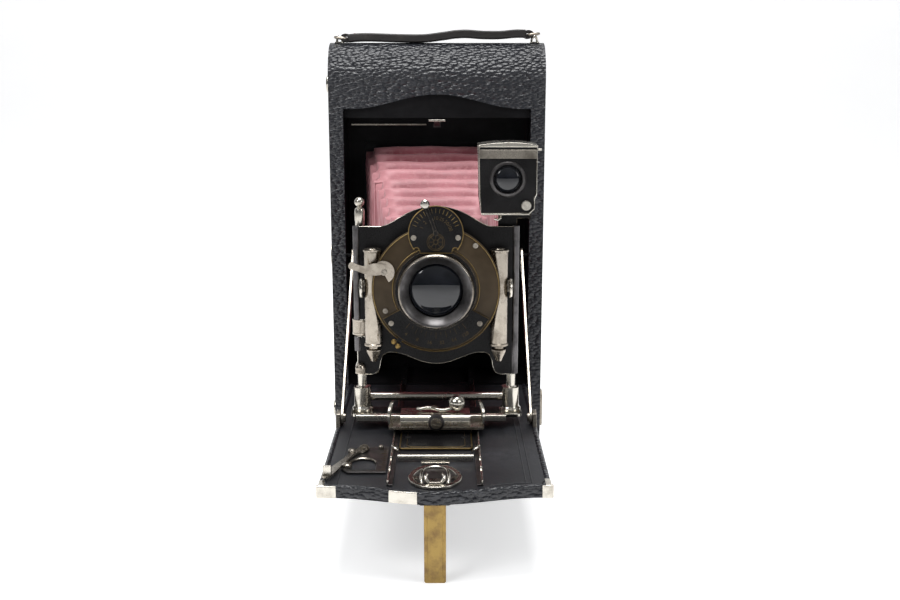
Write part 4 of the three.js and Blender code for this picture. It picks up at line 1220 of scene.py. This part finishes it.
def focus_scale():
    low, high = span("focus_scale")
    z = high.z
    x0, x1, y0, y1 = low.x + 3, high.x, low.y + 2, high.y
    mid = (x0 + x1) / 2
    round_end = arc(mid - 1, y0 + 12, 6.2, 0, 180, 18)
    arch = round_end + [(mid - 7.2, y0 + 3.2), (mid + 5.2, y0 + 3.2)]
    edge = [(x0, y0 + 4), (x0 + 3, y0), (x1, y0), (x1, y1), (x0 + 10, y1), (x0 + 7, y1 - 4), (x0 + 3, y1 - 6),
            (x0, y1 - 13)]
    piece("scale_plate", slab("xy", edge, low.z, z, [arch]), GUNMETAL, "bed", 0.25, replaces="focus_scale",
          slot="bronze")
    lip = wire(on_top(round_end, z - 0.38), 0.6, False, 10)
    piece("scale_plate_lip", lip, OLD_NICKEL, "bed", slot="bronze")
    ticks = []
    for k in range(12):
        y = y0 + 2.5 + 2.4 * k
        ends = [(x1 - 0.8, y), (x1 - (2.4 if k % 3 else 3.6), y)]
        ticks.append(wire(on_top(ends, z + 0.05), 0.12, False, 6))
    piece("scale_ticks", joined(*ticks), ENGRAVING, "bed")
    for n, (x, y, r) in enumerate(((x0 + 3, y1 - 9, 1.9), (x0 + 2.4, y0 + 6, 2.3), (x1 - 4, y1 - 4, 1.3))):
        stud = turned("z", [(0, -0.2), (r, -0.2), (r, 1.5), (r * 0.7, 2.1), (0, 2.2)], (x, y), 28, z)
        piece(f"scale_stud_{n}", stud, OLD_NICKEL, "bed", 0.15)


def scale_lever():
    z = span("focus_scale_lever")[0].z
    edge = bezier([(-32.4, -113.6), (-30.8, -116), (-33.6, -120.4), (-36.4, -121), (-41, -128), (-43, -141),
                   (-46, -149.8), (-47, -152.6), (-49.4, -154), (-50.6, -151.6), (-51, -148), (-46, -138),
                   (-41.8, -126), (-39.6, -120), (-37.6, -113.8), (-34.6, -112.6), (-33.8, -112.4),
                   (-33, -112.8), (-32.4, -113.6)])[:-1]
    plate = slab("xy", edge, z, z + 0.9)
    piece("scale_lever_arm", plate, OLD_NICKEL, "focus_scale_lever", 0.3,
          replaces="focus_scale_lever")
    tab = block(-50.4, -46.4, -150.8, -149.2, z + 0.2, z + 5.0)
    piece("scale_lever_tab", tab, NICKEL, "focus_scale_lever", 0.4)
    screw("scale_lever_pivot", "z", (-34.5, -115.5, z + 0.9), 2.1, OLD_NICKEL, "focus_scale_lever", thick=0.8)


def leg_bracket():
    low, high = span("leg_bracket")
    ears = 3.6  # the CAD's bracket reaches this much lower, where the photograph shows nothing
    plate = slab("xy", rounded(low.x, high.x, low.y, high.y, 1.2), low.z + ears, high.z)
    # Black enamel, so that what shows of the plate below the bed reads as the shade there: painted shade.
    piece("leg_bracket_plate", plate, ENAMEL, "bed", 0.3, replaces="leg_bracket", slot="nickel")


def leg():
    low, high = span("leg")
    mid_y = (low.y + high.y) / 2
    outline = rounded(-4.9, 4.9, low.z, high.z - 0.1, 1.1)
    piece("leg_blade", slab("xz", outline, mid_y - 0.85, mid_y + 0.85), BRASS, "leg", 0.3, replaces="leg")
    beads = [wire([(x, mid_y - 0.86, z) for z in (low.z + 3, high.z - 6)], 0.22, False, 8) for x in (-3.4, 3.4)]
    piece("leg_beads", joined(*beads), BRASS, "leg")


def struts():
    for side, word in SIDES:
        keep(f"strut_{word}", OLD_NICKEL, 0.2)
        x = side * 49.3
        low = (-74.0, BED_TOP + 4.2)
        section = [(0, side * 0.2), (2.6, side * 0.2), (2.4, side * -2.2), (0, side * -2.6)]
        rivet = turned("x", section, low, 28, x)
        piece(f"strut_{word}_rivet", rivet, OLD_NICKEL, "bed", 0.1)
        a, b = sorted((side * 49.6, side * 51.6))
        lug = slab("yz", [(-80, BED_TOP - 0.5), (-68, BED_TOP - 0.5), (-70, BED_TOP + 7), (-73, BED_TOP + 8.2),
                          (-75.5, BED_TOP + 8.2), (-78, BED_TOP + 7)], a, b)
        piece(f"strut_{word}_lug", lug, OLD_NICKEL, "bed", 0.4)


leg_bracket()
bed_panel()
track_rails()
worn_edges()
maker_plate()
track_stop()
door_catch()
focus_scale()
scale_lever()
leg()
struts()


# ---- Carrying strap ----------------------------------------------------------------------------
def strap():
    low, high = span("handle_strap")
    mid = (low.y + high.y) / 2
    line = [(-50.2, 243.4), (-46, 243.8), (-38, 244.0), (-22, 243.5), (-8, 243.4), (2, 244.5),
            (10, 245.6), (17, 245.9), (26, 245.3), (36, 245.3), (44, 246.0), (50, 246.0)]
    path = smooth([(x, 0, z) for x, z in line], 5)
    half, thick = 6.2, 2.2
    section = rounded(-half, half, -thick, thick, 0.9, 4)
    bm = bmesh.new()
    rings = []
    for i, p in enumerate(path):
        before, after = path[max(0, i - 1)], path[min(len(path) - 1, i + 1)]
        along = (after - before).normalized()
        normal = Vector((-along.z, 0, along.x))
        taper = 1 - 0.25 * max(0.0, (abs(p.x) - 40) / 10)
        spine = Vector((p.x, mid, p.z))
        rings.append([bm.verts.new(spine + Vector((0, a * taper, 0)) + normal * b) for a, b in section])
    piece("strap_band", loft(bm, rings, caps=True), STRAP_LEATHER, "body", 0.0, replaces="handle_strap")
    for side, word in SIDES:
        ring_x, ring_z = side * 51.6, 243.6 if side < 0 else 245.6
        outer, inner = (moved(scaled(circle(0, 0, 1, 32), a, b), ring_x, ring_z)
                        for a, b in ((3.1, 2.4), (1.2, 0.85)))
        loop_solid = slab("xz", outer, mid - 4.4, mid + 4.4, [inner])
        piece(f"strap_loop_{word}", loop_solid, STRAP_LEATHER, "body", 0.35)
        stitches = [wire([(side * 46.5, mid + y, 246.1), (side * 46.5, mid + y + 1.3, 246.1)], 0.2, False, 8)
                    for y in (-4.2, -2.2, -0.2, 1.8)]
        piece(f"strap_stitches_{word}", joined(*stitches), BELLOWS, "body", slot="brown_leather")
        ring = []
        for a, b in rounded(-3.3, 3.3, -7.6, 7.6, 2.6, 6):
            ring.append((side * 54.2 + a, mid + b, ring_z - 0.1 + 0.12 * side * a))
        piece(f"strap_ring_{word}_wire", wire(ring, 0.75, True, 14), AGED_NICKEL, "body",
              replaces=f"strap_ring_{word}", slot="brass")
        staple_low, staple_high = span(f"strap_staple_{word}")
        sx = (staple_low.x + staple_high.x) / 2
        hoop = [(-1.5, 240.8), (-1.4, 243.2), (0, 244.6), (1.4, 243.2), (1.5, 240.8)]
        hoop = smooth([(sx + x, mid, z) for x, z in hoop])
        plate = slab("xy", rounded(sx - 2.6, sx + 2.6, mid - 4.4, mid + 4.4, 1.6), 240.9, 241.5)
        piece(f"strap_staple_{word}_hoop", joined(wire(hoop, 0.7, False, 12), plate), NICKEL, "body", 0.1,
              replaces=f"strap_staple_{word}")


strap()


# ---- Floor, light and camera ---------------------------------------------------------------------
def soft_sky(tree):
    """Pale overhead and dim at the horizon, so that bright metal has something dark to reflect. Rays
    straight from the camera see a plain pale backdrop instead."""
    nodes, link = tree.nodes, tree.links.new
    background = nodes["Background"]
    background.inputs["Color"].default_value = (0.96, 0.98, 1, 1)
    axes = nodes.new("ShaderNodeSeparateXYZ")
    rise = nodes.new("ShaderNodeMapRange")
    for socket, number in (("From Min", 0.0), ("From Max", 0.8), ("To Min", 0.05), ("To Max", 0.34)):
        rise.inputs[socket].default_value = number
    link(nodes.new("ShaderNodeTexCoord").outputs["Generated"], axes.inputs[0])
    link(axes.outputs["Z"], rise.inputs["Value"])
    link(rise.outputs["Result"], background.inputs["Strength"])
    pale = nodes.new("ShaderNodeBackground")
    pale.inputs["Color"].default_value = (1, 1, 1, 1)
    pale.inputs["Strength"].default_value = 1.0
    both = nodes.new("ShaderNodeMixShader")
    link(nodes.new("ShaderNodeLightPath").outputs["Is Camera Ray"], both.inputs["Fac"])
    link(background.outputs[0], both.inputs[1])
    link(pale.outputs[0], both.inputs[2])
    link(both.outputs[0], nodes["World Output"].inputs["Surface"])


def studio():
    size, depth, bend, top = 3000.0, 1400.0, 500.0, 2600.0
    curve = arc(depth - bend, bend, bend, -90, 0, 12)
    bm = bmesh.new()
    rings = [[bm.verts.new((x, y, z)) for x in (-size, size)] for y, z in [(-size, 0.0), *curve, (depth, top)]]
    sweep = piece("studio_sweep", loft(bm, rings, closed=False), backdrop(), None)
    world = bpy.context.scene.world or bpy.data.worlds.new("studio")
    bpy.context.scene.world = world
    world.use_nodes = True
    soft_sky(world.node_tree)
    lights = (
        ("key_light", (-460, -520, 560), 300, 2.1),
        ("fill_light", (560, -420, 380), 260, 1.0),
        ("top_light", (0, -120, 780), 380, 5.4),
    )
    target = at(0, -30, 110)
    for name, (x, y, z), width, power in lights:
        lamp = bpy.data.lights.new(name, "AREA")
        lamp.shape = "SQUARE"
        lamp.size = width * MM
        lamp.energy = power
        holder = bpy.data.objects.new(name, lamp)
        bpy.context.scene.collection.objects.link(holder)
        holder.location = at(x, y, z)
        holder.rotation_euler = (target - holder.location).to_track_quat("-Z", "Y").to_euler()


CAMERA_AT = (5.0, -595.9, 221.1)
CAMERA_PITCH = 11.88
CAMERA_YAW = -0.0038


def camera():
    """The place and turn that were fitted to the outline in the photograph."""
    lens = bpy.data.cameras.new("camera")
    lens.sensor_width = 36
    lens.lens = 42.1
    lens.clip_start = 0.01
    holder = bpy.data.objects.new("camera", lens)
    bpy.context.scene.collection.objects.link(holder)
    holder.location = at(*CAMERA_AT)
    holder.rotation_euler = (math.radians(90 - CAMERA_PITCH), 0, CAMERA_YAW)
    bpy.context.scene.camera = holder


studio()
camera()
bpy.context.scene.view_settings.view_transform = "Standard"
